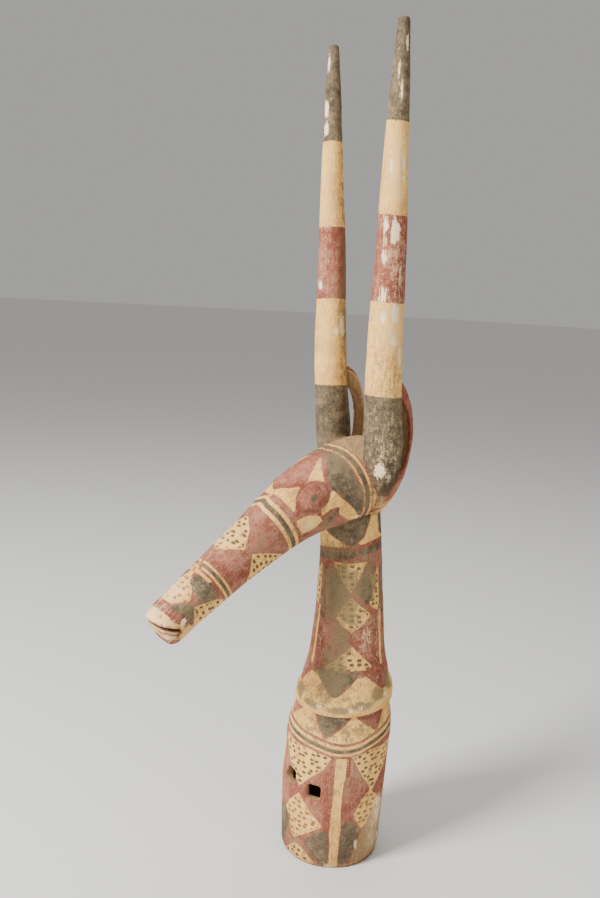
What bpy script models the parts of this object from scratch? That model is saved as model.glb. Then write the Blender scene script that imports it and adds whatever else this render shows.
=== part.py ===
"""A carved wooden antelope crest: a long-snouted head with two tall horns and two hollowed ears, on a
neck, a collar and a hollow base that is lashed on through square holes. It is cut from one log, so it
is one solid. Metres, +Z up, the snout towards -Y, the foot of the base on z = 0."""

import bmesh
import bpy
import numpy as np
from mathutils import Matrix, Vector

# The base, a barrel with a hollow for the wearer's cap.
FOOT_RADIUS = 0.0664
BELLY_RADIUS = 0.0696
BELLY_HEIGHT = 0.136
BASE_HEIGHT = 0.210
SHOULDER_RADIUS = 0.0615
FOOT_EDGE = 0.004
WALL = 0.0115
HOLLOW_HEIGHT = 0.178
HOLLOW_DOME = 0.030
SPINE_BOW = 0.0086

# The lashing holes, cut through the wall of the base: two near the front and two behind.
HOLE_WIDTH = 0.0195
HOLE_HEIGHT = 0.0190
HOLE_BEARINGS = (30.0, -4.0, 176.0, 210.0)
HOLE_LEVELS = (0.105, 0.114, 0.114, 0.105)

# The collar and the neck. The collar is a rolled rim that dips towards the front and the left.
COLLAR_RADIUS = 0.0650
COLLAR_THICKNESS = 0.028
COLLAR_DIP = 0.13
COLLAR_TILT = -0.03
NECK_FOOT_RADIUS = 0.0565
NECK_WAIST_RADIUS = 0.0385
NECK_HEIGHT = 0.272

# The head, measured along its slope from the lips to the nape, which stays where the horns stand on it.
# The places of mouth and eye are shares of its length.
HEAD_LENGTH = 0.375
LIP_SHARE = 0.004
HEAD_WIDTH = 0.110
HEAD_DEPTH = 0.104
NAPE_REACH = 0.05275
NAPE_HEIGHT = 0.51045
MOUTH_GAP = 0.0030
MOUTH_DEPTH = 0.015
MOUTH_RISE = 0.18
EYE_PLACE = 0.515
EYE_TILT = 27.0
EYE_RADIUS = 0.0180
EYE_RISE = 0.0045

# The horns. The left one is a little longer and stouter than the right one.
HORN_ROOT_HEIGHT = 0.500
HORN_TIP_HEIGHTS = {"left": 1.057, "right": 1.051}
HORN_RADII = {"left": 0.0234, "right": 0.0222}
HORN_ROOT_STRETCH = 0.08
HORN_ROOT_SPREAD = 0.0510
HORN_ROOT_TUCK = 0.008
HORN_TIP_SPREAD = 0.0650
HORN_LEAN = 0.0235

# The ears, each a leaf that arches from the side of the head to the back of its horn.
EAR_FOOT_HEIGHT = 0.476
EAR_TOP_HEIGHTS = {"left": 0.648, "right": 0.655}
EAR_REACHES = {"left": 0.0425, "right": 0.0500}
EAR_WIDTH = 0.022
EAR_THICKNESS = 0.0076
EAR_CURL = 0.0040
EAR_SPREAD = 0.0520
EAR_FOOT_TUCK = 0.014
EAR_SETBACK = 0.008
EAR_TOP_SETBACK = 0.007

ROUND_SIDES = 48
HEAD_SIDES = 36
HORN_SIDES = 24
EAR_SIDES = 18
SIDES = {"left": 1.0, "right": -1.0}
WOOD_COLOUR = (0.46, 0.25, 0.17, 1.0)


def through(stations, values, at):
    """Smooth cubic through values at rising stations, read at the places `at`."""
    x = np.asarray(stations, float)
    y = np.asarray(values, float)
    slope = np.gradient(y, x, axis=0)
    at = np.clip(np.asarray(at, float), x[0], x[-1])
    i = np.clip(np.searchsorted(x, at, side="right") - 1, 0, len(x) - 2)
    span = x[i + 1] - x[i]
    t = (at - x[i]) / span
    h00, h10 = 2 * t**3 - 3 * t**2 + 1, t**3 - 2 * t**2 + t
    h01, h11 = -2 * t**3 + 3 * t**2, t**3 - t**2
    return h00 * y[i] + h10 * span * slope[i] + h01 * y[i + 1] + h11 * span * slope[i + 1]


def spine_y(z):
    """How far behind the foot's centre the middle of the base and neck lies at height z."""
    base, neck_top = BASE_HEIGHT, BASE_HEIGHT + NECK_HEIGHT
    stations = (0.0, 0.5 * base, 0.9 * base, base, 0.62 * neck_top, 0.8 * neck_top, neck_top)
    shares = (-0.174, -0.140, 0.581, 0.837, 1.0, 0.640, -0.233)
    return SPINE_BOW * through(stations, shares, z)


def trunk_profile():
    """(height, radius) pairs of the outside of base, collar and neck, from the foot up."""
    rows = [(0.0, FOOT_RADIUS - FOOT_EDGE / 2)]
    stations = (FOOT_EDGE, BELLY_HEIGHT, 0.30 * BELLY_HEIGHT + 0.70 * BASE_HEIGHT, BASE_HEIGHT)
    shoulder = 0.25 * SHOULDER_RADIUS + 0.75 * BELLY_RADIUS
    base_radii = (FOOT_RADIUS, BELLY_RADIUS, shoulder, SHOULDER_RADIUS)
    for z in np.linspace(FOOT_EDGE, BASE_HEIGHT, 11):
        rows.append((z, float(through(stations, base_radii, z))))
    swell = COLLAR_RADIUS - NECK_FOOT_RADIUS
    roll = ((0.06, 0.55), (0.20, 0.88), (0.42, 1.0), (0.66, 0.90), (0.90, 0.58), (1.15, 0.24), (1.40, 0.06))
    for up, out in roll:
        rows.append((BASE_HEIGHT + COLLAR_THICKNESS * up, NECK_FOOT_RADIUS + swell * out))
    neck_foot, foot_radius = rows[-1]
    taper = foot_radius - NECK_WAIST_RADIUS
    for up in np.linspace(0.0, 1.0, 11)[1:]:
        share = float(through((0.0, 0.12, 0.30, 0.50, 0.70, 1.0), (1.0, 0.68, 0.44, 0.27, 0.14, 0.0), up))
        top = BASE_HEIGHT + NECK_HEIGHT
        rows.append((neck_foot + up * (top - neck_foot), NECK_WAIST_RADIUS + share * taper))
    return rows


def dip(x, y, z):
    """How far the trunk's surface is moved up at a point, so that the collar slopes."""
    near = np.exp(-(((z - BASE_HEIGHT - COLLAR_THICKNESS / 2) / (2 * COLLAR_THICKNESS)) ** 2))
    return near * (COLLAR_DIP * y + COLLAR_TILT * x)


def ring(centre, across, up, half_width, half_height, sides, squareness=2.0):
    """Closed section of `sides` points round centre: a superellipse, 2 being an ellipse."""
    turn = np.linspace(0.0, 2 * np.pi, sides, endpoint=False)
    c, s = np.cos(turn), np.sin(turn)
    power = 2.0 / squareness
    u = np.sign(c) * np.abs(c) ** power * half_width
    v = np.sign(s) * np.abs(s) ** power * half_height
    return np.asarray(centre) + np.outer(u, across) + np.outer(v, up)


def loft(name, rings):
    """Closed mesh object through a list of sections, each a ring of as many points."""
    mesh = bpy.data.meshes.new(name)
    shape = bmesh.new()
    rows = [[shape.verts.new(point) for point in section] for section in rings]
    for lower, upper in zip(rows, rows[1:]):
        for i in range(len(lower)):
            j = (i + 1) % len(lower)
            shape.faces.new((lower[i], lower[j], upper[j], upper[i]))
    shape.faces.new(list(reversed(rows[0])))
    shape.faces.new(rows[-1])
    bmesh.ops.recalc_face_normals(shape, faces=shape.faces)
    shape.to_mesh(mesh)
    shape.free()
    made = bpy.data.objects.new(name, mesh)
    bpy.context.scene.collection.objects.link(made)
    return made


def trunk():
    """Base, collar and neck as one turned form about a slightly bowed spine, its collar aslant."""
    rings = []
    for z, r in trunk_profile():
        points = ring((0.0, float(spine_y(z)), z), (1, 0, 0), (0, 1, 0), r, r, ROUND_SIDES)
        points[:, 2] += dip(points[:, 0], points[:, 1], z)
        rings.append(points)
    return loft("trunk", rings)


def outer_radius(z):
    """Radius of the outside of the base at height z."""
    heights, radii = zip(*trunk_profile())
    return float(np.interp(z, heights, radii))


def hollow():
    """Cutter for the inside of the base: it keeps the wall's thickness and ends in a dome."""
    rings = []
    for z in np.linspace(-WALL, HOLLOW_HEIGHT, 12):
        inside = outer_radius(max(z, FOOT_EDGE)) - WALL
        into_dome = max(0.0, (z - (HOLLOW_HEIGHT - HOLLOW_DOME)) / HOLLOW_DOME)
        inside *= np.sqrt(max(1.0 - into_dome**2, 0.04))
        middle = (0.0, float(spine_y(max(z, 0.0))), z)
        rings.append(ring(middle, (1, 0, 0), (0, 1, 0), inside, inside, ROUND_SIDES))
    return loft("hollow_cutter", rings)


def lashing_hole(bearing, height):
    """Cutter for a square hole through the wall, its bearing in degrees from the front towards +X."""
    out = np.array((np.sin(np.radians(bearing)), -np.cos(np.radians(bearing)), 0.0))
    side = np.array((out[1], -out[0], 0.0))
    middle = np.array((0.0, float(spine_y(height)), height))
    reach = outer_radius(height)
    corners = ((-1, -1), (1, -1), (1, 1), (-1, 1))
    rings = [[middle + out * r + side * (u * HOLE_WIDTH / 2) + np.array((0, 0, v * HOLE_HEIGHT / 2))
              for u, v in corners] for r in (reach - 2.5 * WALL, reach + WALL)]
    return loft("lashing_hole_cutter", rings)


def head_spine():
    """Rows along the head from lips to nape: centre (y, z), half width, half depth and squareness."""
    rows = (
        # share back, share up, half width, half depth, squareness
        (-LIP_SHARE, -0.006, 0.20, 0.20, 2.0),
        (-0.001, -0.004, 0.36, 0.37, 2.2),
        (0.012, 0.007, 0.43, 0.445, 2.4),
        (0.030, 0.022, 0.455, 0.470, 2.4),
        (0.072, 0.054, 0.47, 0.480, 2.4),
        (0.150, 0.112, 0.50, 0.515, 2.3),
        (0.250, 0.184, 0.535, 0.565, 2.3),
        (0.345, 0.248, 0.585, 0.635, 2.25),
        (0.430, 0.305, 0.655, 0.720, 2.2),
        (0.500, 0.347, 0.745, 0.805, 2.15),
        (0.570, 0.380, 0.850, 0.890, 2.1),
        (0.640, 0.404, 0.945, 0.960, 2.1),
        (0.710, 0.421, 0.990, 1.010, 2.1),
        (0.775, 0.432, 0.960, 1.010, 2.1),
        (0.830, 0.432, 0.850, 0.880, 2.05),
        (0.860, 0.426, 0.660, 0.660, 2.0),
        (0.874, 0.422, 0.360, 0.360, 2.0),
    )
    nape_back, nape_up = rows[-1][:2]
    placed = []
    for back, up, wide, deep, squareness in rows:
        y = NAPE_REACH + (back - nape_back) * HEAD_LENGTH
        z = NAPE_HEIGHT + (up - nape_up) * HEAD_LENGTH
        placed.append((y, z, wide * HEAD_WIDTH / 2, deep * HEAD_DEPTH / 2, squareness))
    return placed


def head():
    """Snout, face and crown: sections square to the head's sloping spine."""
    spine = head_spine()
    middle = np.array([(y, z) for y, z, *_ in spine])
    heading = np.gradient(middle, axis=0)
    heading /= np.linalg.norm(heading, axis=1)[:, None]
    rings = []
    for (y, z, half_width, half_depth, squareness), (along_y, along_z) in zip(spine, heading):
        up = (0.0, -along_z, along_y)
        rings.append(ring((0.0, y, z), (1, 0, 0), up, half_width, half_depth, HEAD_SIDES, squareness))
    return loft("head", rings)


def head_section(share):
    """Centre, way to the nape, way up, half width and half depth of the head at a share of its length."""
    spine = np.array(head_spine())
    y = spine[0, 0] + (share + LIP_SHARE) * HEAD_LENGTH
    step = 0.01 * HEAD_LENGTH
    z, half_width, half_depth = (float(through(spine[:, 0], spine[:, i], y)) for i in (1, 2, 3))
    rise = float(through(spine[:, 0], spine[:, 1], y + step) - through(spine[:, 0], spine[:, 1], y - step))
    along = Vector((0.0, 2 * step, rise)).normalized()
    up = Vector((0.0, -along.z, along.y))
    return Vector((0.0, y, z)), along, up, half_width, half_depth


def eye(side):
    """Almond boss on the side of the face, a flattened ball sunk into it."""
    centre, along, up, half_width, half_depth = head_section(EYE_PLACE)
    tilt = np.radians(EYE_TILT)
    spot = centre + Vector((side * half_width * np.cos(tilt), 0, 0)) + up * (half_depth * np.sin(tilt))
    out = (Vector((side * np.cos(tilt), 0, 0)) + up * np.sin(tilt)).normalized()
    across = along.cross(out)
    mesh = bpy.data.meshes.new("eye")
    shape = bmesh.new()
    bmesh.ops.create_uvsphere(shape, u_segments=20, v_segments=12, radius=1.0)
    size = Matrix.Diagonal((EYE_RADIUS * 1.15, EYE_RADIUS * 0.95, EYE_RISE * 2, 1.0))
    frame = Matrix((along, across, out)).transposed().to_4x4()
    place = Matrix.Translation(spot - out * EYE_RISE * 0.9)
    bmesh.ops.transform(shape, matrix=place @ frame @ size, verts=shape.verts)
    bmesh.ops.recalc_face_normals(shape, faces=shape.faces)
    shape.to_mesh(mesh)
    shape.free()
    made = bpy.data.objects.new("eye", mesh)
    bpy.context.scene.collection.objects.link(made)
    return made


def mouth():
    """Cutter for the slit between the lips, lying along the head's slope."""
    centre, along, up, half_width, half_depth = head_section(0.0)
    start = centre + up * (MOUTH_RISE * half_depth)
    rings = []
    for reach, gap in ((-1.0, 2.6), (-0.1, 2.2), (0.5, 1.0), (1.0, 0.4)):
        middle = start + along * (MOUTH_DEPTH * reach)
        rings.append(ring(middle, (1, 0, 0), up, 1.6 * half_width, MOUTH_GAP * gap / 2, 12))
    return loft("mouth_cutter", rings)


def horn_line(name, up):
    """Centre of a horn at a share of its height above its root, on the side it belongs to."""
    spread = HORN_ROOT_SPREAD + (HORN_TIP_SPREAD - HORN_ROOT_SPREAD) * max(0.0, (up - 0.15) / 0.85)
    tuck = HORN_ROOT_TUCK * max(0.0, 1.0 - up / 0.10)
    stations = (0.0, 0.12, 0.21, 0.36, 0.54, 0.73, 1.0)
    lean = float(through(stations, (-0.26, -0.10, 0.16, 0.41, 0.53, 0.76, 1.0), up))
    z = HORN_ROOT_HEIGHT + up * (HORN_TIP_HEIGHTS[name] - HORN_ROOT_HEIGHT)
    return np.array((SIDES[name] * (spread - tuck), -HORN_LEAN * lean, z))


def horn(name):
    """Tapering pole that leans forwards and spreads outwards, with a flat end."""
    stations = (0.0, 0.03, 0.07, 0.125, 0.214, 0.28, 0.358, 0.435,
                0.536, 0.634, 0.73, 0.824, 0.90, 0.962, 0.994, 1.0)
    shares = (0.62, 0.84, 0.96, 1.0, 0.967, 0.946, 0.917, 0.860,
              0.798, 0.719, 0.632, 0.532, 0.448, 0.356, 0.30, 0.26)
    rings = []
    for up, share in zip(stations, shares):
        radius = HORN_RADII[name] * share
        depth = radius * (1.0 + HORN_ROOT_STRETCH * float(np.exp(-(((up - 0.13) / 0.09) ** 2))))
        rings.append(ring(horn_line(name, up), (1, 0, 0), (0, 1, 0), radius, depth, HORN_SIDES))
    return loft("horn", rings)


def ear(name):
    """Leaf that bows out behind its horn as half an ellipse, its edges curled towards the horn."""
    side = SIDES[name]
    half_height = (EAR_TOP_HEIGHTS[name] - EAR_FOOT_HEIGHT) / 2
    middle = EAR_FOOT_HEIGHT + half_height
    reach = EAR_REACHES[name]
    root = horn_line(name, 0.25)
    rings = []
    for turn in np.linspace(-90.0, 90.0, 15):
        c, s = np.cos(np.radians(turn)), np.sin(np.radians(turn))
        outward = np.array((0.0, c / reach, s / half_height))
        outward /= np.linalg.norm(outward)
        stations = (-90.0, -55.0, -15.0, 30.0, 60.0, 90.0)
        half_thick = EAR_THICKNESS / 2 * float(through(stations, (3.0, 2.6, 1.1, 1.3, 3.0, 3.5), turn))
        half_width = EAR_WIDTH / 2 * float(through(stations, (1.1, 1.15, 1.1, 1.0, 0.9, 0.8), turn))
        curl = EAR_CURL * float(through(stations, (0.0, 0.3, 1.0, 1.0, 0.3, 0.0), turn))
        x = EAR_SPREAD - EAR_FOOT_TUCK * float(through(stations, (1.0, 0.43, 0.0, 0.0, 0.07, 0.07), turn))
        base_y = root[1] + EAR_SETBACK + EAR_TOP_SETBACK * s
        centre = np.array((x, base_y + reach * c, middle + half_height * s)) - outward * half_thick
        ways = np.linspace(0.0, 2 * np.pi, EAR_SIDES, endpoint=False)
        u, v = np.cos(ways), np.sin(ways)
        lift = v * half_thick - curl * u**2
        points = centre + np.outer(u * half_width, (1, 0, 0)) + np.outer(lift, outward)
        points[:, 0] *= side
        rings.append(points)
    return loft("ear", rings)


def combine(body, other, operation):
    """Add or cut one closed form, then drop the helper."""
    step = body.modifiers.new(operation.title(), "BOOLEAN")
    step.operation = operation
    step.solver = "EXACT"
    step.object = other
    graph = bpy.context.evaluated_depsgraph_get()
    joined = bpy.data.meshes.new_from_object(body.evaluated_get(graph))
    body.modifiers.clear()
    body.data = joined
    bpy.data.objects.remove(other)


def finish_mesh(body):
    """Weld slivers, centre the form over the origin and shade it smooth up to its edges."""
    mesh = body.data
    shape = bmesh.new()
    shape.from_mesh(mesh)
    bmesh.ops.remove_doubles(shape, verts=shape.verts, dist=0.00005)
    bmesh.ops.triangulate(shape, faces=shape.faces)
    corners = np.array([v.co for v in shape.verts])
    middle = (corners.min(0) + corners.max(0)) / 2
    bmesh.ops.translate(shape, vec=(-middle[0], -middle[1], 0.0), verts=shape.verts)
    shape.to_mesh(mesh)
    shape.free()
    mesh.shade_smooth()
    mesh.set_sharp_from_angle(angle=np.radians(42.0))


def wood():
    """Ochre-painted wood, dull."""
    made = bpy.data.materials.new("painted_wood")
    made.use_nodes = True
    shader = made.node_tree.nodes["Principled BSDF"]
    shader.inputs["Base Color"].default_value = WOOD_COLOUR
    shader.inputs["Roughness"].default_value = 0.85
    shader.inputs["Metallic"].default_value = 0.0
    return made


def main():
    for old in list(bpy.data.objects):
        bpy.data.objects.remove(old)
    crest = trunk()
    crest.name = "carved_crest"
    combine(crest, head(), "UNION")
    for name, side in SIDES.items():
        combine(crest, horn(name), "UNION")
        combine(crest, ear(name), "UNION")
        combine(crest, eye(side), "UNION")
    combine(crest, hollow(), "DIFFERENCE")
    for bearing, height in zip(HOLE_BEARINGS, HOLE_LEVELS):
        combine(crest, lashing_hole(bearing, height), "DIFFERENCE")
    combine(crest, mouth(), "DIFFERENCE")
    finish_mesh(crest)
    crest.data.materials.clear()
    crest.data.materials.append(wood())


main()
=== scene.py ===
"""The looks of a carved and painted antelope crest: one dense carved skin over the frame's solid, its
painted triangles and bands, its worn wood, and the photograph's camera with soft studio light."""

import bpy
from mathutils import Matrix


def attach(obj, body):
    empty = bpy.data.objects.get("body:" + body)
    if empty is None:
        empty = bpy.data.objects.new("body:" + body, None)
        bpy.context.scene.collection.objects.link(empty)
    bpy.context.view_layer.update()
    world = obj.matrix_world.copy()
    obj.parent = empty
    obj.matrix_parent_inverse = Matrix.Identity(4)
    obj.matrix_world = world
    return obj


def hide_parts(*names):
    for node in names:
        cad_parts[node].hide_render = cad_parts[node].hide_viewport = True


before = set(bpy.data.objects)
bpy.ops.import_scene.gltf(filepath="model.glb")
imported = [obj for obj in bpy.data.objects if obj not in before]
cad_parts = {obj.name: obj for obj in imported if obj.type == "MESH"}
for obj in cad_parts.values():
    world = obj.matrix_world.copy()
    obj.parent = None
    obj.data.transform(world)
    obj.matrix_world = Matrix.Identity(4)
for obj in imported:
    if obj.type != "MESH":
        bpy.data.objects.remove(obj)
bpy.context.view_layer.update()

import logging
from dataclasses import dataclass
from enum import Enum

import bpy
import numpy as np
from mathutils import Matrix, Vector

LOG = logging.getLogger("crest")
MM = 0.001
CAD_NODE = "carved_crest"
SKIN_VOXEL = 2.15 * MM
SKIN_KEPT = 0.70
SEED = 7
Numbers = float | np.ndarray


class Side(Enum):
    """The two sides of the animal; its left is at +X, towards the camera."""

    LEFT = 1.0
    RIGHT = -1.0


class Form(Enum):
    """The carved forms that a point of the skin can belong to."""

    TRUNK = 0
    INSIDE = 1
    HEAD = 2
    HORN_LEFT = 3
    HORN_RIGHT = 4
    EAR_LEFT = 5
    EAR_RIGHT = 6
    EYE = 7


def through(stations: tuple | np.ndarray, values: tuple | np.ndarray, at: Numbers) -> np.ndarray:
    """Smooth curve through values at rising stations.

    Args:
        stations: rising places.
        values: the value at each place, numbers or rows.
        at: where to read the curve, as a number or an array.

    Returns:
        The cubic through the values, with each slope taken from the neighbours.
    """
    x, y = np.asarray(stations, float), np.asarray(values, float)
    slope = np.gradient(y, x, axis=0)
    at = np.clip(np.asarray(at, float), x[0], x[-1])
    i = np.clip(np.searchsorted(x, at, side="right") - 1, 0, len(x) - 2)
    span = x[i + 1] - x[i]
    t = (at - x[i]) / span
    rise = 3 * t**2 - 2 * t**3
    bend = span * (slope[i] * (t**3 - 2 * t**2 + t) + slope[i + 1] * (t**3 - t**2))
    return y[i] * (1 - rise) + y[i + 1] * rise + bend


def superellipse(sides: int, squareness: np.ndarray) -> tuple[np.ndarray, np.ndarray]:
    """Unit sections: cos and sin of the turn, each raised to 2 / squareness with its sign kept.

    Args:
        sides: points in each section.
        squareness: (rows,) powers, 2 being a circle.

    Returns:
        The two as (rows, sides) arrays.
    """
    turn = np.linspace(0.0, 2 * np.pi, sides, endpoint=False)
    power = 2.0 / np.asarray(squareness, float)[:, None]
    c, s = np.cos(turn)[None, :], np.sin(turn)[None, :]
    return np.sign(c) * np.abs(c) ** power, np.sign(s) * np.abs(s) ** power


def rings(centres: np.ndarray, across: tuple | np.ndarray, up: tuple | np.ndarray, half_width: np.ndarray,
          half_height: np.ndarray, sides: int, squareness: np.ndarray | None = None) -> np.ndarray:
    """Sections along a path: centre + u * half_width * across + v * half_height * up, (u, v) a superellipse.

    Args:
        centres: (rows, 3) points of the path.
        across: (3,) or (rows, 3) unit direction of the width.
        up: (3,) or (rows, 3) unit direction of the height.
        half_width: (rows,) half widths.
        half_height: (rows,) half heights.
        sides: points in each section.
        squareness: (rows,) powers, 2 being an ellipse.

    Returns:
        (rows, sides, 3) points.
    """
    rows = len(centres)
    squareness = np.full(rows, 2.0) if squareness is None else squareness
    u, v = superellipse(sides, squareness)
    across = np.broadcast_to(across, (rows, 3))[:, None, :]
    up = np.broadcast_to(up, (rows, 3))[:, None, :]
    wide = (u * np.asarray(half_width)[:, None])[..., None]
    high = (v * np.asarray(half_height)[:, None])[..., None]
    return np.asarray(centres)[:, None, :] + wide * across + high * up


def closed_object(name: str, grid: np.ndarray) -> bpy.types.Object:
    """Closed mesh through a grid of points.

    Args:
        name: the object's name.
        grid: (rows, sides, 3) points; each row is a closed ring.

    Returns:
        An object whose rings are joined by quads, with a fan at each end and faces outward.
    """
    rows, sides, _ = grid.shape
    points = np.concatenate([grid.reshape(-1, 3), grid[[0, -1]].mean(axis=1)])
    i, j = np.meshgrid(np.arange(rows - 1), np.arange(sides), indexing="ij")
    here, beside = i * sides + j, i * sides + (j + 1) % sides
    quads = np.stack([here, beside, beside + sides, here + sides], axis=-1).reshape(-1, 4)
    edge = np.arange(sides)
    next_edge = (edge + 1) % sides
    first_fan = np.stack([next_edge, edge, np.full(sides, rows * sides)], axis=-1)
    last = (rows - 1) * sides
    last_fan = np.stack([last + edge, last + next_edge, np.full(sides, rows * sides + 1)], axis=-1)
    fans = np.concatenate([first_fan, last_fan])
    corners = np.concatenate([quads[:, [0, 1, 2]], quads[:, [0, 2, 3]], fans])
    a, b, c = (points[corners[:, k]] for k in range(3))
    if np.einsum("ij,ij->i", a, np.cross(b, c)).sum() < 0:
        quads, fans = quads[:, ::-1], fans[:, ::-1]
    mesh = bpy.data.meshes.new(name)
    mesh.from_pydata(points, [], quads.tolist() + fans.tolist())
    made = bpy.data.objects.new(name, mesh)
    bpy.context.scene.collection.objects.link(made)
    return made


def cut_away(body: bpy.types.Object, cutter: bpy.types.Object) -> None:
    """Cuts a closed form out of a body, applies the result and drops the cutter.

    Args:
        body: what is cut.
        cutter: the closed form, which is removed.
    """
    step = body.modifiers.new("Cut", "BOOLEAN")
    step.operation = "DIFFERENCE"
    step.solver = "EXACT"
    step.object = cutter
    apply_modifiers(body)
    bpy.data.objects.remove(cutter)


def apply_modifiers(body: bpy.types.Object) -> None:
    """Replaces a body's mesh by what its modifiers make of it.

    Args:
        body: the object, left with no modifiers.
    """
    graph = bpy.context.evaluated_depsgraph_get()
    mesh = bpy.data.meshes.new_from_object(body.evaluated_get(graph))
    body.modifiers.clear()
    body.data = mesh


@dataclass
class TrunkSizes:
    """Real sizes of the base, the collar and the neck, in metres."""

    foot_radius: float = 0.0664
    belly_radius: float = 0.0696
    belly_height: float = 0.136
    base_height: float = 0.210
    shoulder_radius: float = 0.0615
    foot_edge: float = 0.004
    wall: float = 0.0115
    hollow_height: float = 0.178
    hollow_dome: float = 0.030
    collar_radius: float = 0.0650
    collar_thickness: float = 0.028
    collar_dip: float = 0.13
    collar_tilt: float = -0.03
    neck_foot_radius: float = 0.0565
    neck_waist_radius: float = 0.0385
    neck_height: float = 0.272
    hole_width: float = 0.0195
    hole_height: float = 0.0190
    hole_bearings: tuple = (30.0, -4.0, 176.0, 210.0)
    hole_levels: tuple = (0.105, 0.114, 0.114, 0.105)


class Trunk:
    """Base, collar and neck: one form turned about a slightly bowed spine, hollow below."""

    SIDES = 160
    ROWS = 170
    PROFILE_ROWS = 40
    HOLLOW_ROWS = 50
    # where the spine is set, as shares of the base and then of the trunk, and how far back it lies, in metres
    BOW_ON_BASE = (0.0, 0.5, 0.9, 1.0)
    BOW_ON_TRUNK = (0.62, 0.8, 1.0)
    BOW = (-0.0015, -0.0012, 0.0050, 0.0072, 0.0086, 0.0055, -0.0020)
    # the shoulder: shares of the belly's and the base's heights, and of the shoulder's and the belly's radii
    SHOULDER_UP, SHOULDER_OUT = (0.30, 0.70), (0.25, 0.75)
    # the collar's roll: shares of its thickness up and of its width out
    COLLAR_UP = (0.06, 0.20, 0.42, 0.66, 0.90, 1.15, 1.40)
    COLLAR_OUT = (0.55, 0.88, 1.0, 0.90, 0.58, 0.24, 0.06)
    COLLAR_SPREAD = 2.0
    # the neck's taper: shares of its height and of what it loses in radius
    NECK_UP = (0.0, 0.12, 0.30, 0.50, 0.70, 1.0)
    NECK_BULK = (1.0, 0.68, 0.44, 0.27, 0.14, 0.0)
    DOME_LEAST = 0.04
    # the cutter of a hole, in walls inward and outward of the surface
    CUTTER_IN, CUTTER_OUT = 2.5, 1.0
    # the top of the dome, in metres under and over its height and out from its middle
    DOME_UNDER, DOME_OVER, DOME_REACH = 0.02, 0.003, 0.03
    NOWHERE = 1.0
    DIP_PASSES = 3

    def __init__(self, sizes: TrunkSizes) -> None:
        """Works out the outline from the trunk's real sizes."""
        self.sizes = sizes
        self.top = sizes.base_height + sizes.neck_height
        self.heights, self.radii = self.profile()

    def spine(self, z: Numbers) -> np.ndarray:
        """How far behind the foot's centre the middle of the form lies at height z.

        Args:
            z: height in metres, as a number or an array.

        Returns:
            The smooth curve through BOW at that height.
        """
        on_base = np.array(self.BOW_ON_BASE) * self.sizes.base_height
        on_trunk = np.array(self.BOW_ON_TRUNK) * self.top
        return through(np.concatenate([on_base, on_trunk]), self.BOW, z)

    def profile(self) -> tuple[np.ndarray, np.ndarray]:
        """Outline of the outside from the foot up: a barrel, a rolled collar and a tapering neck.

        Returns:
            Heights and radii.
        """
        s = self.sizes
        low, high = self.SHOULDER_UP
        inward, outward = self.SHOULDER_OUT
        shoulder_up = low * s.belly_height + high * s.base_height
        shoulder_out = inward * s.shoulder_radius + outward * s.belly_radius
        base_z = np.linspace(s.foot_edge, s.base_height, self.PROFILE_ROWS)
        base_r = through((s.foot_edge, s.belly_height, shoulder_up, s.base_height),
                         (s.foot_radius, s.belly_radius, shoulder_out, s.shoulder_radius), base_z)
        collar_z = s.base_height + s.collar_thickness * np.array(self.COLLAR_UP)
        collar_r = s.neck_foot_radius + (s.collar_radius - s.neck_foot_radius) * np.array(self.COLLAR_OUT)
        share = np.linspace(0.0, 1.0, self.PROFILE_ROWS)[1:]
        bulk = through(self.NECK_UP, self.NECK_BULK, share)
        neck_z = collar_z[-1] + share * (self.top - collar_z[-1])
        neck_r = s.neck_waist_radius + bulk * (collar_r[-1] - s.neck_waist_radius)
        heights = np.concatenate([[0.0], base_z, collar_z, neck_z])
        radii = np.concatenate([[s.foot_radius - s.foot_edge / 2], base_r, collar_r, neck_r])
        return heights, radii

    def radius(self, z: Numbers) -> np.ndarray:
        """Radius of the outside at height z."""
        return np.interp(z, self.heights, self.radii)

    def dip(self, x: Numbers, y: Numbers, z: Numbers) -> np.ndarray:
        """How far a point is moved up so that the collar slopes: a plane in x and y, fading away from it.

        Args:
            x: places across, in metres.
            y: places fore and aft.
            z: heights before the move.

        Returns:
            The rise in metres.
        """
        s = self.sizes
        away = (z - s.base_height - s.collar_thickness / 2) / (self.COLLAR_SPREAD * s.collar_thickness)
        return np.exp(-(away**2)) * (s.collar_dip * y + s.collar_tilt * x)

    def inside_radius(self, z: Numbers) -> np.ndarray:
        """Radius of the hollow: the outside less the wall, times the root of 1 - share squared in the dome.

        Args:
            z: heights in metres.

        Returns:
            The radii.
        """
        s = self.sizes
        into_dome = np.clip((z - (s.hollow_height - s.hollow_dome)) / s.hollow_dome, 0.0, 1.0)
        walled = self.radius(np.maximum(z, s.foot_edge)) - s.wall
        return walled * np.sqrt(np.maximum(1.0 - into_dome**2, self.DOME_LEAST))

    def build(self) -> bpy.types.Object:
        """Rings from the dome down the hollow, round the foot and up the outside; then the holes are cut.

        Returns:
            The trunk as one closed form.
        """
        s = self.sizes
        inner_z = np.linspace(s.hollow_height, 0.0, self.HOLLOW_ROWS)
        outer_z = np.concatenate([self.heights[:1], np.linspace(s.foot_edge, self.top, self.ROWS)])
        z = np.concatenate([inner_z, outer_z])
        r = np.concatenate([self.inside_radius(inner_z), self.radius(outer_z)])
        centres = np.stack([np.zeros_like(z), self.spine(z), z], axis=-1)
        grid = rings(centres, (1, 0, 0), (0, 1, 0), r, r, self.SIDES)
        outside = slice(len(inner_z), None)
        x, y, level = grid[outside, :, 0], grid[outside, :, 1], z[outside, None]
        grid[outside, :, 2] += self.dip(x, y, level)
        body = closed_object("trunk", grid)
        for bearing, level in zip(s.hole_bearings, s.hole_levels):
            cut_away(body, self.lashing_hole(bearing, level))
        return body

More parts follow.
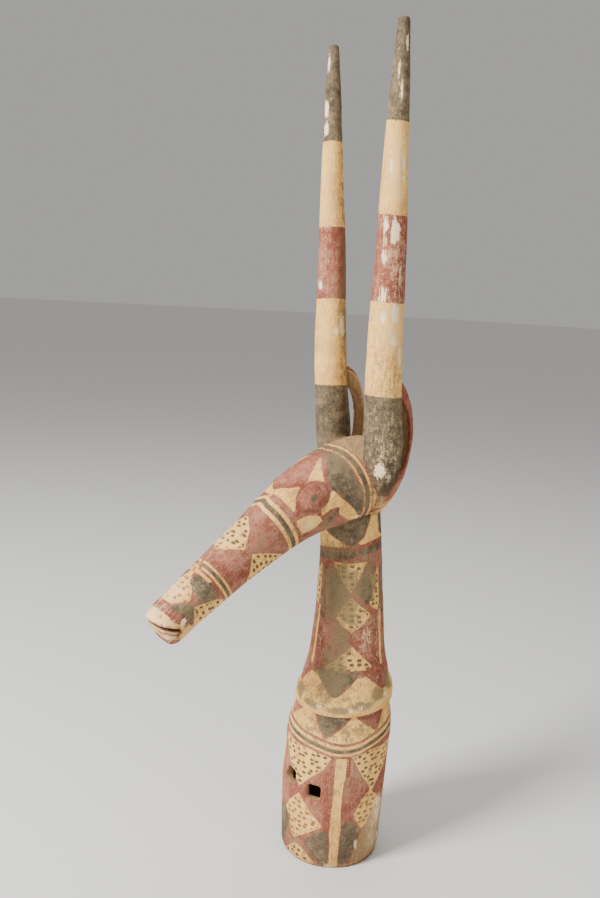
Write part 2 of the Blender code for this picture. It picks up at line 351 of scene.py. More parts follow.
    def lashing_hole(self, bearing: float, height: float) -> bpy.types.Object:
        """Square cutter through the wall.

        Args:
            bearing: degrees from the front towards +X.
            height: its middle, in metres.

        Returns:
            The closed form to cut away.
        """
        s = self.sizes
        out = np.array((np.sin(np.radians(bearing)), -np.cos(np.radians(bearing)), 0.0))
        side = np.array((out[1], -out[0], 0.0))
        middle = np.array((0.0, float(self.spine(height)), height))
        reach = float(self.radius(height))
        corners = np.array(((-1, -1), (1, -1), (1, 1), (-1, 1)), float)
        flat = np.outer(corners[:, 0], side) * s.hole_width / 2
        flat[:, 2] += corners[:, 1] * s.hole_height / 2
        ends = np.array((reach - self.CUTTER_IN * s.wall, reach + self.CUTTER_OUT * s.wall))
        return closed_object("hole_cutter", middle + ends[:, None, None] * out + flat[None])

    def coordinates(self, points: np.ndarray) -> tuple[np.ndarray, ...]:
        """Where points lie on the trunk.

        Args:
            points: (n, 3) places in metres.

        Returns:
            Distance from the outside, distance from the hollow, bearing in degrees from the front, and height
            in mm with the collar's slope taken out.
        """
        s = self.sizes
        x, y, z = points.T
        level = z
        for _ in range(self.DIP_PASSES):
            level = z - self.dip(x, y, level)
        behind = y - self.spine(level)
        reach = np.hypot(x, behind)
        above = np.maximum(z - self.top, 0.0)
        outside = np.abs(reach - self.radius(level)) + above
        inner = np.abs(reach - self.inside_radius(z))
        over = z >= s.hollow_height + self.DOME_OVER
        inner = np.where(over, self.NOWHERE, inner)
        in_dome = (z > s.hollow_height - self.DOME_UNDER) & ~over & (reach < self.DOME_REACH)
        inner = np.where(in_dome, 0.0, inner)
        return outside, inner, np.degrees(np.arctan2(x, -behind)), level / MM


@dataclass
class HeadSizes:
    """Real sizes of the head, measured along its slope from the lips to the nape."""

    length: float = 0.375
    width: float = 0.110
    depth: float = 0.104
    muzzle_reach: float = 0.2750
    muzzle_height: float = 0.3522
    eye_place: float = 0.515
    eye_tilt: float = 27.0
    eye_radius: float = 0.0180
    eye_rise: float = 0.0045
    lip_height: float = 0.3600
    lip_dip: float = -0.19
    mouth_corner: float = 0.0205
    corner_fade: float = 0.006


class Head:
    """Snout, face and crown, with a boss for each eye and the line of the lips."""

    SIDES = 132
    ROWS = 200
    EYE_ROWS, EYE_SIDES = 32, 48
    # the boss: its length and width in eye radii, the share of its rise sunk in, and its open poles
    EYE_LONG, EYE_SHORT = 1.15, 0.95
    EYE_SUNK = 0.9
    POLE = 0.02
    # points beyond the ends of the spine, in metres, count from the end face
    PAST_END = 0.002
    BATCHES = 24
    SPINE = (
        # share back, share up, half width, half depth, squareness
        (-0.004, -0.006, 0.20, 0.20, 2.0),
        (-0.001, -0.004, 0.32, 0.33, 2.2),
        (0.009, 0.004, 0.415, 0.428, 2.4),
        (0.027, 0.019, 0.455, 0.468, 2.4),
        (0.072, 0.054, 0.47, 0.480, 2.4),
        (0.150, 0.112, 0.50, 0.515, 2.3),
        (0.250, 0.184, 0.535, 0.565, 2.3),
        (0.345, 0.248, 0.585, 0.635, 2.25),
        (0.430, 0.305, 0.655, 0.720, 2.2),
        (0.500, 0.347, 0.745, 0.805, 2.15),
        (0.570, 0.380, 0.850, 0.890, 2.1),
        (0.640, 0.404, 0.945, 0.960, 2.1),
        (0.710, 0.421, 0.990, 1.010, 2.1),
        (0.775, 0.432, 0.960, 1.010, 2.1),
        (0.830, 0.432, 0.850, 0.880, 2.05),
        (0.860, 0.426, 0.660, 0.660, 2.0),
        (0.874, 0.422, 0.360, 0.360, 2.0),
    )

    def __init__(self, sizes: HeadSizes) -> None:
        """Works out the path and the half sizes along it.

        Args:
            sizes: the head's real sizes.
        """
        self.sizes = sizes
        rows = np.array(self.SPINE)
        y = rows[:, 0] * sizes.length - sizes.muzzle_reach
        z = rows[:, 1] * sizes.length + sizes.muzzle_height
        self.stations = np.concatenate([[0.0], np.cumsum(np.hypot(np.diff(y), np.diff(z)))])
        self.along = np.linspace(0.0, self.stations[-1], self.ROWS)
        self.path = np.stack([through(self.stations, row, self.along) for row in (y, z)], axis=-1)
        heading = np.gradient(self.path, axis=0)
        self.heading = heading / np.linalg.norm(heading, axis=1)[:, None]
        self.half_width = through(self.stations, rows[:, 2] * sizes.width / 2, self.along)
        self.half_depth = through(self.stations, rows[:, 3] * sizes.depth / 2, self.along)
        self.squareness = through(self.stations, rows[:, 4], self.along)

    def section(self, share: float) -> tuple[Vector, Vector, Vector, float, float]:
        """One section of the head.

        Args:
            share: its place as a share of the head's length.

        Returns:
            Centre, way to the nape, way up, half width and half depth.
        """
        y = share * self.sizes.length - self.sizes.muzzle_reach
        i = int(np.argmin(np.abs(self.path[:, 0] - y)))
        along = Vector((0.0, *self.heading[i]))
        up = Vector((0.0, -along.z, along.y))
        return Vector((0.0, *self.path[i])), along, up, self.half_width[i], self.half_depth[i]

    def build(self) -> bpy.types.Object:
        """Superellipses square to the sloping spine.

        Returns:
            The head as one closed form.
        """
        centres = np.insert(self.path, 0, 0.0, axis=1)
        up = np.stack([np.zeros(self.ROWS), -self.heading[:, 1], self.heading[:, 0]], axis=-1)
        grid = rings(centres, (1, 0, 0), up, self.half_width, self.half_depth, self.SIDES, self.squareness)
        return closed_object("head", grid)

    def lip_line(self, points: np.ndarray) -> tuple[np.ndarray, np.ndarray]:
        """Where points lie from the slit between the lips.

        Args:
            points: (n, 3) places in metres.

        Returns:
            Height over the slit in mm, the slit being a plane that dips a little backwards, and how much of
            the mouth is there, from 1 at the lips to 0 past the corner.
        """
        s = self.sizes
        behind = points[:, 1] + s.muzzle_reach
        above = (points[:, 2] - s.lip_height - s.lip_dip * behind) / MM
        share = np.clip((s.mouth_corner - behind) / s.corner_fade, 0.0, 1.0)
        return above, share * share * (3.0 - 2.0 * share)

    def eye_frame(self, side: Side) -> Matrix:
        """Place, axes and half sizes of an eye's boss.

        Args:
            side: which eye.

        Returns:
            The matrix that takes a unit ball to the boss.
        """
        s = self.sizes
        centre, along, up, half_width, half_depth = self.section(s.eye_place)
        tilt = np.radians(s.eye_tilt)
        aside = Vector((side.value * np.cos(tilt), 0, 0))
        out = (aside + up * np.sin(tilt)).normalized()
        beside = Vector((side.value * half_width * np.cos(tilt), 0, 0))
        spot = centre + beside + up * (half_depth * np.sin(tilt))
        axes = Matrix((along, along.cross(out), out)).transposed().to_4x4()
        size = Matrix.Diagonal((s.eye_radius * self.EYE_LONG, s.eye_radius * self.EYE_SHORT, s.eye_rise * 2,
                                1.0))
        return Matrix.Translation(spot - out * s.eye_rise * self.EYE_SUNK) @ axes @ size

    def eye(self, side: Side) -> bpy.types.Object:
        """Flattened ball: (sin a cos b, sin a sin b, cos a) taken through the eye's frame.

        Args:
            side: which eye.

        Returns:
            The boss as one closed form.
        """
        a = np.linspace(self.POLE, np.pi - self.POLE, self.EYE_ROWS)
        centres = np.stack([0 * a, 0 * a, np.cos(a)], -1)
        grid = rings(centres, (1, 0, 0), (0, 1, 0), np.sin(a), np.sin(a), self.EYE_SIDES)
        to_world = np.array(self.eye_frame(side))
        return closed_object("eye", grid @ to_world[:3, :3].T + to_world[:3, 3])

    def coordinates(self, points: np.ndarray) -> tuple[np.ndarray, ...]:
        """Where points lie on the head.

        Args:
            points: (n, 3) places in metres.

        Returns:
            Distance from the skin, length along the spine in mm, and turn from the top in degrees.
        """
        x, y, z = points.T
        nearest = np.empty(len(points), int)
        for part in np.array_split(np.arange(len(points)), self.BATCHES):
            gap = (self.path[None, :, 0] - y[part, None]) ** 2 + (self.path[None, :, 1] - z[part, None]) ** 2
            nearest[part] = np.argmin(gap, axis=1)
        away = np.stack([y, z], axis=-1) - self.path[nearest]
        heading = self.heading[nearest]
        up = away[:, 1] * heading[:, 0] - away[:, 0] * heading[:, 1]
        ahead = (away * heading).sum(1)
        wide, deep, power = self.half_width[nearest], self.half_depth[nearest], self.squareness[nearest]
        level = ((np.abs(x) / wide) ** power + (np.abs(up) / deep) ** power) ** (1 / power)
        distance = np.abs(level - 1.0) * np.minimum(wide, deep)
        past_end = (level < 1) & (np.abs(ahead) > self.PAST_END)
        distance = np.where(past_end, np.minimum(distance, np.abs(ahead)), distance)
        return distance, (self.along[nearest] + ahead) / MM, np.degrees(np.arctan2(x, up))


@dataclass
class HornSizes:
    """Real sizes of one horn, in metres."""

    tip_height: float
    radius: float
    root_height: float = 0.500
    root_stretch: float = 0.08
    root_spread: float = 0.0510
    tip_spread: float = 0.0650
    lean: float = 0.0235


class Horn:
    """Tapering pole that leans forwards and spreads outwards, with a flat end."""

    SIDES = 72
    ROWS = 230
    # the taper: shares of the height above the root and of the radius
    STATIONS = (0.0, 0.03, 0.07, 0.125, 0.214, 0.28, 0.358, 0.435,
                0.536, 0.634, 0.73, 0.824, 0.90, 0.962, 0.994, 1.0)
    SHARES = (0.62, 0.84, 0.96, 1.0, 0.967, 0.946, 0.917, 0.860,
              0.798, 0.719, 0.632, 0.532, 0.448, 0.356, 0.30, 0.26)
    # the lean forwards: shares of the height and of the whole lean
    LEAN_UP = (0.0, 0.12, 0.21, 0.36, 0.54, 0.73, 1.0)
    LEAN = (-0.26, -0.10, 0.16, 0.41, 0.53, 0.76, 1.0)
    SPREAD_FROM = 0.15
    TUCK, TUCK_TOP = 0.008, 0.10
    ROOT_PLACE, ROOT_SPREAD = 0.13, 0.09
    END = 0.994
    # a point counts as the end face over this share, and as another form's past this reach in metres
    END_FACE, REACH, NOWHERE = 0.992, 0.04, 1.0

    def __init__(self, side: Side, sizes: HornSizes) -> None:
        """Keeps the horn's side and real sizes."""
        self.side, self.sizes = side, sizes

    def centre(self, up: Numbers) -> tuple[np.ndarray, np.ndarray]:
        """Middle of the horn: outwards in a straight line from SPREAD_FROM up, forwards along LEAN.

        Args:
            up: share of the height above the root.

        Returns:
            Its x and y in metres.
        """
        s = self.sizes
        outwards = np.maximum(0.0, (up - self.SPREAD_FROM) / (1.0 - self.SPREAD_FROM))
        spread = s.root_spread + (s.tip_spread - s.root_spread) * outwards
        tuck = self.TUCK * np.maximum(0.0, 1.0 - up / self.TUCK_TOP)
        return self.side.value * (spread - tuck), -s.lean * through(self.LEAN_UP, self.LEAN, up)

    def half_sizes(self, up: Numbers) -> tuple[np.ndarray, np.ndarray]:
        """Half width from the taper, and half depth, a little more near the root.

        Args:
            up: share of the height above the root.

        Returns:
            The two in metres.
        """
        width = self.sizes.radius * np.interp(up, self.STATIONS, self.SHARES)
        swelling = np.exp(-(((up - self.ROOT_PLACE) / self.ROOT_SPREAD) ** 2))
        return width, width * (1.0 + self.sizes.root_stretch * swelling)

    def build(self) -> bpy.types.Object:
        """Ellipses on the horn's leaning line.

        Returns:
            The horn as one closed form.
        """
        s = self.sizes
        up = np.concatenate([np.linspace(0.0, self.END, self.ROWS), [1.0]])
        x, y = self.centre(up)
        z = s.root_height + up * (s.tip_height - s.root_height)
        width, depth = self.half_sizes(up)
        grid = rings(np.stack([x, y, z], -1), (1, 0, 0), (0, 1, 0), width, depth, self.SIDES)
        return closed_object("horn", grid)

    def coordinates(self, points: np.ndarray) -> tuple[np.ndarray, ...]:
        """Where points lie on the horn.

        Args:
            points: (n, 3) places in metres.

        Returns:
            Distance from the skin, height in mm, and bearing in degrees from the front, outwards.
        """
        s = self.sizes
        up = (points[:, 2] - s.root_height) / (s.tip_height - s.root_height)
        inside = np.clip(up, 0.0, 1.0)
        x, y = self.centre(inside)
        width, depth = self.half_sizes(inside)
        dx, dy = points[:, 0] - x, points[:, 1] - y
        distance = np.abs(np.hypot(dx / width, dy / depth) - 1.0) * width
        distance = np.where(up > self.END_FACE, 0.0, distance) + np.maximum(-up, 0.0)
        distance = np.where(np.hypot(dx, dy) > self.REACH, self.NOWHERE, distance)
        return distance, points[:, 2] / MM, np.degrees(np.arctan2(dx * self.side.value, -dy))


@dataclass
class EarSizes:
    """Real sizes of one ear, in metres."""

    top_height: float
    reach: float
    foot_height: float = 0.476
    width: float = 0.022
    thickness: float = 0.0076
    curl: float = 0.0040
    spread: float = 0.0520


class Ear:
    """Leaf that bows out behind its horn as half an ellipse, its edges curled towards the horn."""

    SIDES = 64
    ROWS = 110
    # turns along the leaf from foot to top, with shares of the sizes there and a shift across in metres
    STATIONS = (-90.0, -55.0, -15.0, 30.0, 60.0, 90.0)
    THICK = (3.0, 2.6, 1.1, 1.3, 3.0, 3.5)
    WIDE = (1.1, 1.15, 1.1, 1.0, 0.9, 0.8)
    CURLED = (0.0, 0.3, 1.0, 1.0, 0.3, 0.0)
    SHIFT = (-0.014, -0.006, 0.0, 0.0, -0.001, -0.001)
    # where the leaf starts on its horn, how far behind it, and how far back its top leans, in metres
    ROOT_UP, ROOT_BEHIND, LEAN = 0.25, 0.008, 0.007
    # allowances in telling which points are the leaf's
    FLANK, UNDER, NEAREST = 0.62, 0.001, 0.0004

    def __init__(self, horn: Horn, sizes: EarSizes) -> None:
        """Places the leaf behind its horn.

        Args:
            horn: the horn it stands behind.
            sizes: the ear's real sizes.
        """
        self.side, self.sizes = horn.side, sizes
        self.half_height = (sizes.top_height - sizes.foot_height) / 2
        self.middle = sizes.foot_height + self.half_height
        self.root = float(horn.centre(self.ROOT_UP)[1]) + self.ROOT_BEHIND

    def build(self) -> bpy.types.Object:
        """Sections square to the half ellipse: u half_width across, v half_thick - curl u squared outward.

        Returns:
            The ear as one closed form.
        """
        s = self.sizes
        turn = np.linspace(-90.0, 90.0, self.ROWS)
        c, sine = np.cos(np.radians(turn)), np.sin(np.radians(turn))
        outward = np.stack([0 * c, c / s.reach, sine / self.half_height], -1)
        outward /= np.linalg.norm(outward, axis=1)[:, None]
        half_thick = s.thickness / 2 * through(self.STATIONS, self.THICK, turn)
        half_width = s.width / 2 * through(self.STATIONS, self.WIDE, turn)
        curl = s.curl * through(self.STATIONS, self.CURLED, turn)
        x = s.spread + through(self.STATIONS, self.SHIFT, turn)
        y = self.root + self.LEAN * sine + s.reach * c
        centres = np.stack([x, y, self.middle + self.half_height * sine], -1) - outward * half_thick[:, None]
        u, v = superellipse(self.SIDES, np.full(self.ROWS, 2.0))
        lift = v * half_thick[:, None] - curl[:, None] * u**2
        across = (u * half_width[:, None])[..., None] * np.array((1.0, 0.0, 0.0))
        grid = centres[:, None, :] + across + lift[..., None] * outward[:, None, :]
        grid[..., 0] *= self.side.value
        return closed_object("ear", grid)

    def coordinates(self, points: np.ndarray) -> tuple[np.ndarray, ...]:
        """Where points lie on the leaf.

        Args:
            points: (n, 3) places in metres.

        Returns:
            Distance from the leaf, turn along it in degrees, depth in mm under its outer face, and distance in
            mm outwards from its middle.
        """
        s = self.sizes
        up = (points[:, 2] - self.middle) / self.half_height
        back = (points[:, 1] - self.root - self.LEAN * np.clip(up, -1, 1)) / s.reach
        turn = np.degrees(np.arctan2(up, back))
        depth = (1.0 - np.hypot(up, back)) * np.minimum(s.reach, self.half_height)
        beside = points[:, 0] * self.side.value - s.spread
        aside = np.abs(beside) - s.width * self.FLANK
        thick = s.thickness * through(self.STATIONS, self.THICK, turn) + s.curl
        outside = np.maximum.reduce([aside, depth - thick, -depth - self.UNDER, -back * s.reach])
        return np.maximum(outside, 0.0) + self.NEAREST, turn, depth / MM, beside / MM


def grain_noise(points: np.ndarray, size: float, seed: int) -> np.ndarray:
    """Smooth value noise in -1..1: random corner values of a cubic lattice, blended with an eased ramp.

    Args:
        points: (n, 3) places in metres.
        size: lattice cell, in metres.
        seed: picks the pattern.

    Returns:
        (n,) values.
    """
    table = np.random.default_rng(SEED + seed).uniform(-1.0, 1.0, (32, 32, 32))
    place = points / size + 512.0
    cell = np.floor(place).astype(int)
    t = place - cell
    t = t * t * (3 - 2 * t)
    total = np.zeros(len(points))
    for corner in np.ndindex(2, 2, 2):
        weight = np.prod(np.where(corner, t, 1 - t), axis=1)
        i, j, k = ((cell + corner) % 32).T
        total += weight * table[i, j, k]
    return total


class Crest:
    """The whole carving as one skin, with the place of each of its points on the carved forms."""

    HORNS = {
        Side.LEFT: HornSizes(tip_height=1.057, radius=0.0234),
        Side.RIGHT: HornSizes(tip_height=1.051, radius=0.0222),
    }
    EARS = {
        Side.LEFT: EarSizes(top_height=0.648, reach=0.0425),
        Side.RIGHT: EarSizes(top_height=0.655, reach=0.05),
    }
    # how far the painted shade reaches out of the creases, in metres
    CREASE_SHADE_REACH = 0.0035
    # how strong and how high the darkening towards the foot lies, in metres
    FOOT_DIRT, FOOT_DIRT_HEIGHT = 0.6, 0.070
    MUZZLE_BACK = -0.235
    # painted shade and a darker outline round an eye, in its unit frame: middle, half width, strength
    EYE_SHADE_RING = (1.0, 0.13, 0.6)
    # how deep the eye's frame counts
    EYE_DEPTH = 3.0
    EYE_REACH = 1.06
    NOWHERE = 1.0

    def __init__(self) -> None:
        """Lays out the carved forms."""
        self.trunk = Trunk(TrunkSizes())
        self.head = Head(HeadSizes())
        self.horns = {side: Horn(side, sizes) for side, sizes in self.HORNS.items()}
        self.ears = {side: Ear(self.horns[side], sizes) for side, sizes in self.EARS.items()}

    def build(self) -> bpy.types.Object:
        """Makes the forms and melts them into one skin with a voxel remesh.

        Returns:
            The skin.
        """
        forms = [self.trunk.build(), self.head.build()]
        for side in Side:
            forms += [self.horns[side].build(), self.ears[side].build(), self.head.eye(side)]
        body = forms[0]
        with bpy.context.temp_override(active_object=body, object=body, selected_editable_objects=forms,
                                       selected_objects=forms):
            bpy.ops.object.join()
        body.name = "crest_skin"
        melt = body.modifiers.new("Melt", "REMESH")
        melt.mode = "VOXEL"
        melt.voxel_size = SKIN_VOXEL
        melt.adaptivity = 0.0
        melt.use_smooth_shade = True
        apply_modifiers(body)
        self.thin(body)
        body.data.shade_smooth()
        LOG.info("crest_skin: %d points, %d faces", len(body.data.vertices), len(body.data.polygons))
        return body

    def thin(self, body: bpy.types.Object) -> None:
        """Collapses short edges everywhere but on the muzzle, where the lips need every point.

        Args:
            body: the skin.
        """
        points = read_numbers(body.data, "co")
        elsewhere = np.flatnonzero(points[:, 1] > self.MUZZLE_BACK)
        group = body.vertex_groups.new(name="elsewhere")
        group.add(elsewhere.tolist(), 1.0, "REPLACE")
        step = body.modifiers.new("Thin", "DECIMATE")
        step.ratio = SKIN_KEPT
        step.vertex_group = group.name
        apply_modifiers(body)
        body.vertex_groups.clear()

    def places(self, points: np.ndarray) -> dict:
        """Which form each point belongs to, and its coordinates on every form.

        Args:
            points: (n, 3) places in metres.

        Returns:
            By name: the coordinates on each form, owner (a Form's number), depth (metres from the trunk's
            outside) and darkening (0 to 1), painted shade in creases and round the eyes, darker towards the
            foot.
        """
        outside, inside, bearing, level = self.trunk.coordinates(points)
        head_gap, along, turn = self.head.coordinates(points)
        found = {"trunk": (bearing, level), "head": (along, turn)}
        gaps = [outside, inside, head_gap]
        for side in Side:
            gap, *place = self.horns[side].coordinates(points)
            gaps.append(gap)
            found[f"horn_{side.name}"] = place
        for side in Side:
            gap, *place = self.ears[side].coordinates(points)
            gaps.append(gap)
            found[f"ear_{side.name}"] = place
        eyes = []
        for side in Side:
            into = np.array(self.head.eye_frame(side).inverted())
            local = points @ into[:3, :3].T + into[:3, 3]
            eyes.append(np.linalg.norm(local, axis=1))
            found[f"eye_{side.name}"] = local
        gaps.append(np.where(np.minimum(*eyes) < self.EYE_REACH, 0.0, self.NOWHERE))
        gaps = np.stack(gaps)
        found["owner"] = np.argmin(gaps, axis=0)
        found["depth"] = outside
        solid = np.delete(gaps, (Form.INSIDE.value, Form.EYE.value), axis=0)
        beside = np.partition(solid, 1, axis=0)[1]
        middle, half, depth = self.EYE_SHADE_RING
        edge = np.zeros(len(points))
        for side in Side:
            local = found[f"eye_{side.name}"]
            ring = np.exp(-(((np.hypot(local[:, 0], local[:, 1]) - middle) / half) ** 2))
            edge = np.maximum(edge, depth * ring * (np.abs(local[:, 2]) < self.EYE_DEPTH))
        foot = self.FOOT_DIRT * np.exp(-((points[:, 2] / self.FOOT_DIRT_HEIGHT) ** 2))
        # painted shade where two forms meet and round the eye bosses, and a darkening towards the foot
        found["darkening"] = np.maximum.reduce([np.exp(-beside / self.CREASE_SHADE_REACH), edge, foot])
        return found


class Pigment(Enum):
    """The paints, and what shows where they have gone."""

    RED = "red"
    CREAM = "cream"
    BLACK = "black"
    WOOD = "wood"


@dataclass(frozen=True)
class Patch:
    """A painted outline: corners as (turn in degrees, place in mm) on one of the forms.

    Dots names the pigment of the dots on it, and border is the width in mm of a red line left round it.
    """

    pigment: Pigment
    corners: tuple
    dots: Pigment | None = None
    border: float = 0.0


def inside_outline(u: np.ndarray, v: np.ndarray, corners: np.ndarray) -> np.ndarray:
    """Signed distance to a closed outline: the nearest edge, positive inside by counted crossings.

    Args:
        u: places across.
        v: places along.
        corners: (n, 2) corners.

    Returns:
        The distances.
    """
    nearest = np.full(u.shape, 1e9)
    inside = np.zeros(u.shape, bool)
    for (x0, y0), (x1, y1) in zip(corners, np.roll(corners, -1, axis=0)):
        run, rise = x1 - x0, y1 - y0
        t = np.clip(((u - x0) * run + (v - y0) * rise) / (run * run + rise * rise), 0.0, 1.0)
        nearest = np.minimum(nearest, np.hypot(u - x0 - t * run, v - y0 - t * rise))
        if rise:
            inside ^= ((y0 > v) != (y1 > v)) & (u < x0 + run * (v - y0) / rise)
    return np.where(inside, nearest, -nearest)


@dataclass(frozen=True)
class Smudge:
    """A soft oval on one of the forms: its middle and its half sizes, in degrees of turn and mm of place."""

    turn: float
    place: float
    half_turn: float
    half_place: float
    strength: float = 1.0


class Coat:
    """Layers of paint over the points of the skin, each a signed distance in mm, positive where it lies."""

    FAR = 6.0
    DOT_MARGIN = 1.6

    def __init__(self, count: int) -> None:
        """Makes bare layers.

        Args:
            count: how many points they cover.
        """
        self.layers = {p: np.full(count, -self.FAR) for p in (Pigment.CREAM, Pigment.BLACK, Pigment.WOOD)}
        self.dots = {p: np.full(count, -self.FAR) for p in (Pigment.BLACK, Pigment.RED)}
        self.plaster = np.full(count, -self.FAR)
        # pale holds faded paint and, on the horns, a painted highlight; grime holds grime and painted shade
        self.soft = {"pale": np.zeros(count), "grime_and_shade": np.zeros(count)}

    def smear(self, kind: str, smudges: tuple, turn: np.ndarray, place: np.ndarray, where: np.ndarray) -> None:
        """Raises one of the soft layers to strength * exp(-d squared), d the distance in half sizes.

        Args:
            kind: the layer.
            smudges: the ovals.
            turn: each point's turn in degrees.
            place: each point's place along the form, in mm.
            where: which points belong to the form.
        """
        for smudge in smudges:
            aside = ((turn - smudge.turn + 180.0) % 360.0 - 180.0) / smudge.half_turn
            along = (place - smudge.place) / smudge.half_place
            soft = np.where(where, smudge.strength * np.exp(-(aside**2) - along**2), 0.0)
            self.soft[kind] = np.maximum(self.soft[kind], soft)

    def bare(self, distance: np.ndarray, where: np.ndarray) -> None:
        """Shows the white ground at the points that are meant, where the distance is above 0."""
        self.plaster = np.maximum(self.plaster, np.where(where, distance, -self.FAR))

    def weather(self, form: "FormPaint", turn: np.ndarray, place: np.ndarray, where: np.ndarray) -> None:
        """Lays a form's chips and smudges.

        Args:
            form: the form's chips, smudges and reach.
            turn: each point's turn in degrees.
            place: each point's place along the form, in mm.
            where: which points belong to the form.
        """
        for corners in form.CHIPS:
            outline = np.array(corners, float) * (form.REACH, 1.0)
            self.bare(inside_outline(turn * form.REACH, place, outline), where)
        self.smear("pale", form.PALE, turn, place, where)
        self.smear("grime_and_shade", form.GRIME_AND_SHADE, turn, place, where)

    def lay(self, pigment: Pigment, distance: np.ndarray, dots: Pigment | None = None) -> None:
        """Paints over what lies there: the pigment's own layer grows, and every other one is cut back.

        Args:
            pigment: what is painted.
            distance: each point's distance in mm inside the outline.
            dots: the pigment of dots on it.
        """
        distance = np.clip(distance, -self.FAR, self.FAR)
        for other, layer in self.layers.items():
            grown = np.maximum(layer, distance) if other is pigment else np.minimum(layer, -distance)
            self.layers[other] = grown
        for other, layer in self.dots.items():
            self.dots[other] = np.minimum(layer, -distance)
        if dots:
            self.dots[dots] = np.maximum(self.dots[dots], distance - self.DOT_MARGIN)

    def lay_where(self, pigment: Pigment, distance: np.ndarray, where: np.ndarray) -> None:
        """Paints at the points that are meant, where the distance in mm is above 0."""
        self.lay(pigment, np.where(where, distance, -self.FAR))

    def lay_patches(self, patches: tuple | list, turn: np.ndarray, place: np.ndarray, reach: float,
                    where: np.ndarray) -> None:
        """Paints outlines given in degrees and mm.

        Args:
            patches: the outlines, painted in order.
            turn: each point's turn in degrees.
            place: each point's place along the form, in mm.
            reach: mm of surface to one degree.
            where: which points belong to the form.
        """
        for patch in patches:
            corners = np.array(patch.corners, float) * (reach, 1.0)
            near = where & (np.abs(place - corners[:, 1].mean()) < np.ptp(corners[:, 1]) + 2 * self.FAR)
            distance = np.full(len(turn), -self.FAR)
            distance[near] = inside_outline(turn[near] * reach, place[near], corners)
            if patch.border:
                self.lay(Pigment.RED, distance + patch.border)
            self.lay(patch.pigment, distance, patch.dots)

    def lay_band(self, pigment: Pigment, offset: np.ndarray, low: Numbers, high: Numbers,
                 where: np.ndarray) -> None:
        """Paints a stripe where offset, in mm, is between low and high."""
        self.lay_where(pigment, np.minimum(offset - low, high - offset), where)

    def lay_bands(self, bands: tuple, offset: np.ndarray, where: np.ndarray) -> None:
        """Paints stripes in order, each a pigment with its lowest and highest offset in mm."""
        for pigment, low, high in bands:
            self.lay_band(pigment, offset, low, high, where)


class FormPaint:
    """What the painters of the base, the neck and the head share."""

    REACH = 1.0
    CHIPS: tuple = ()
    PALE: tuple = ()
    GRIME_AND_SHADE: tuple = ()


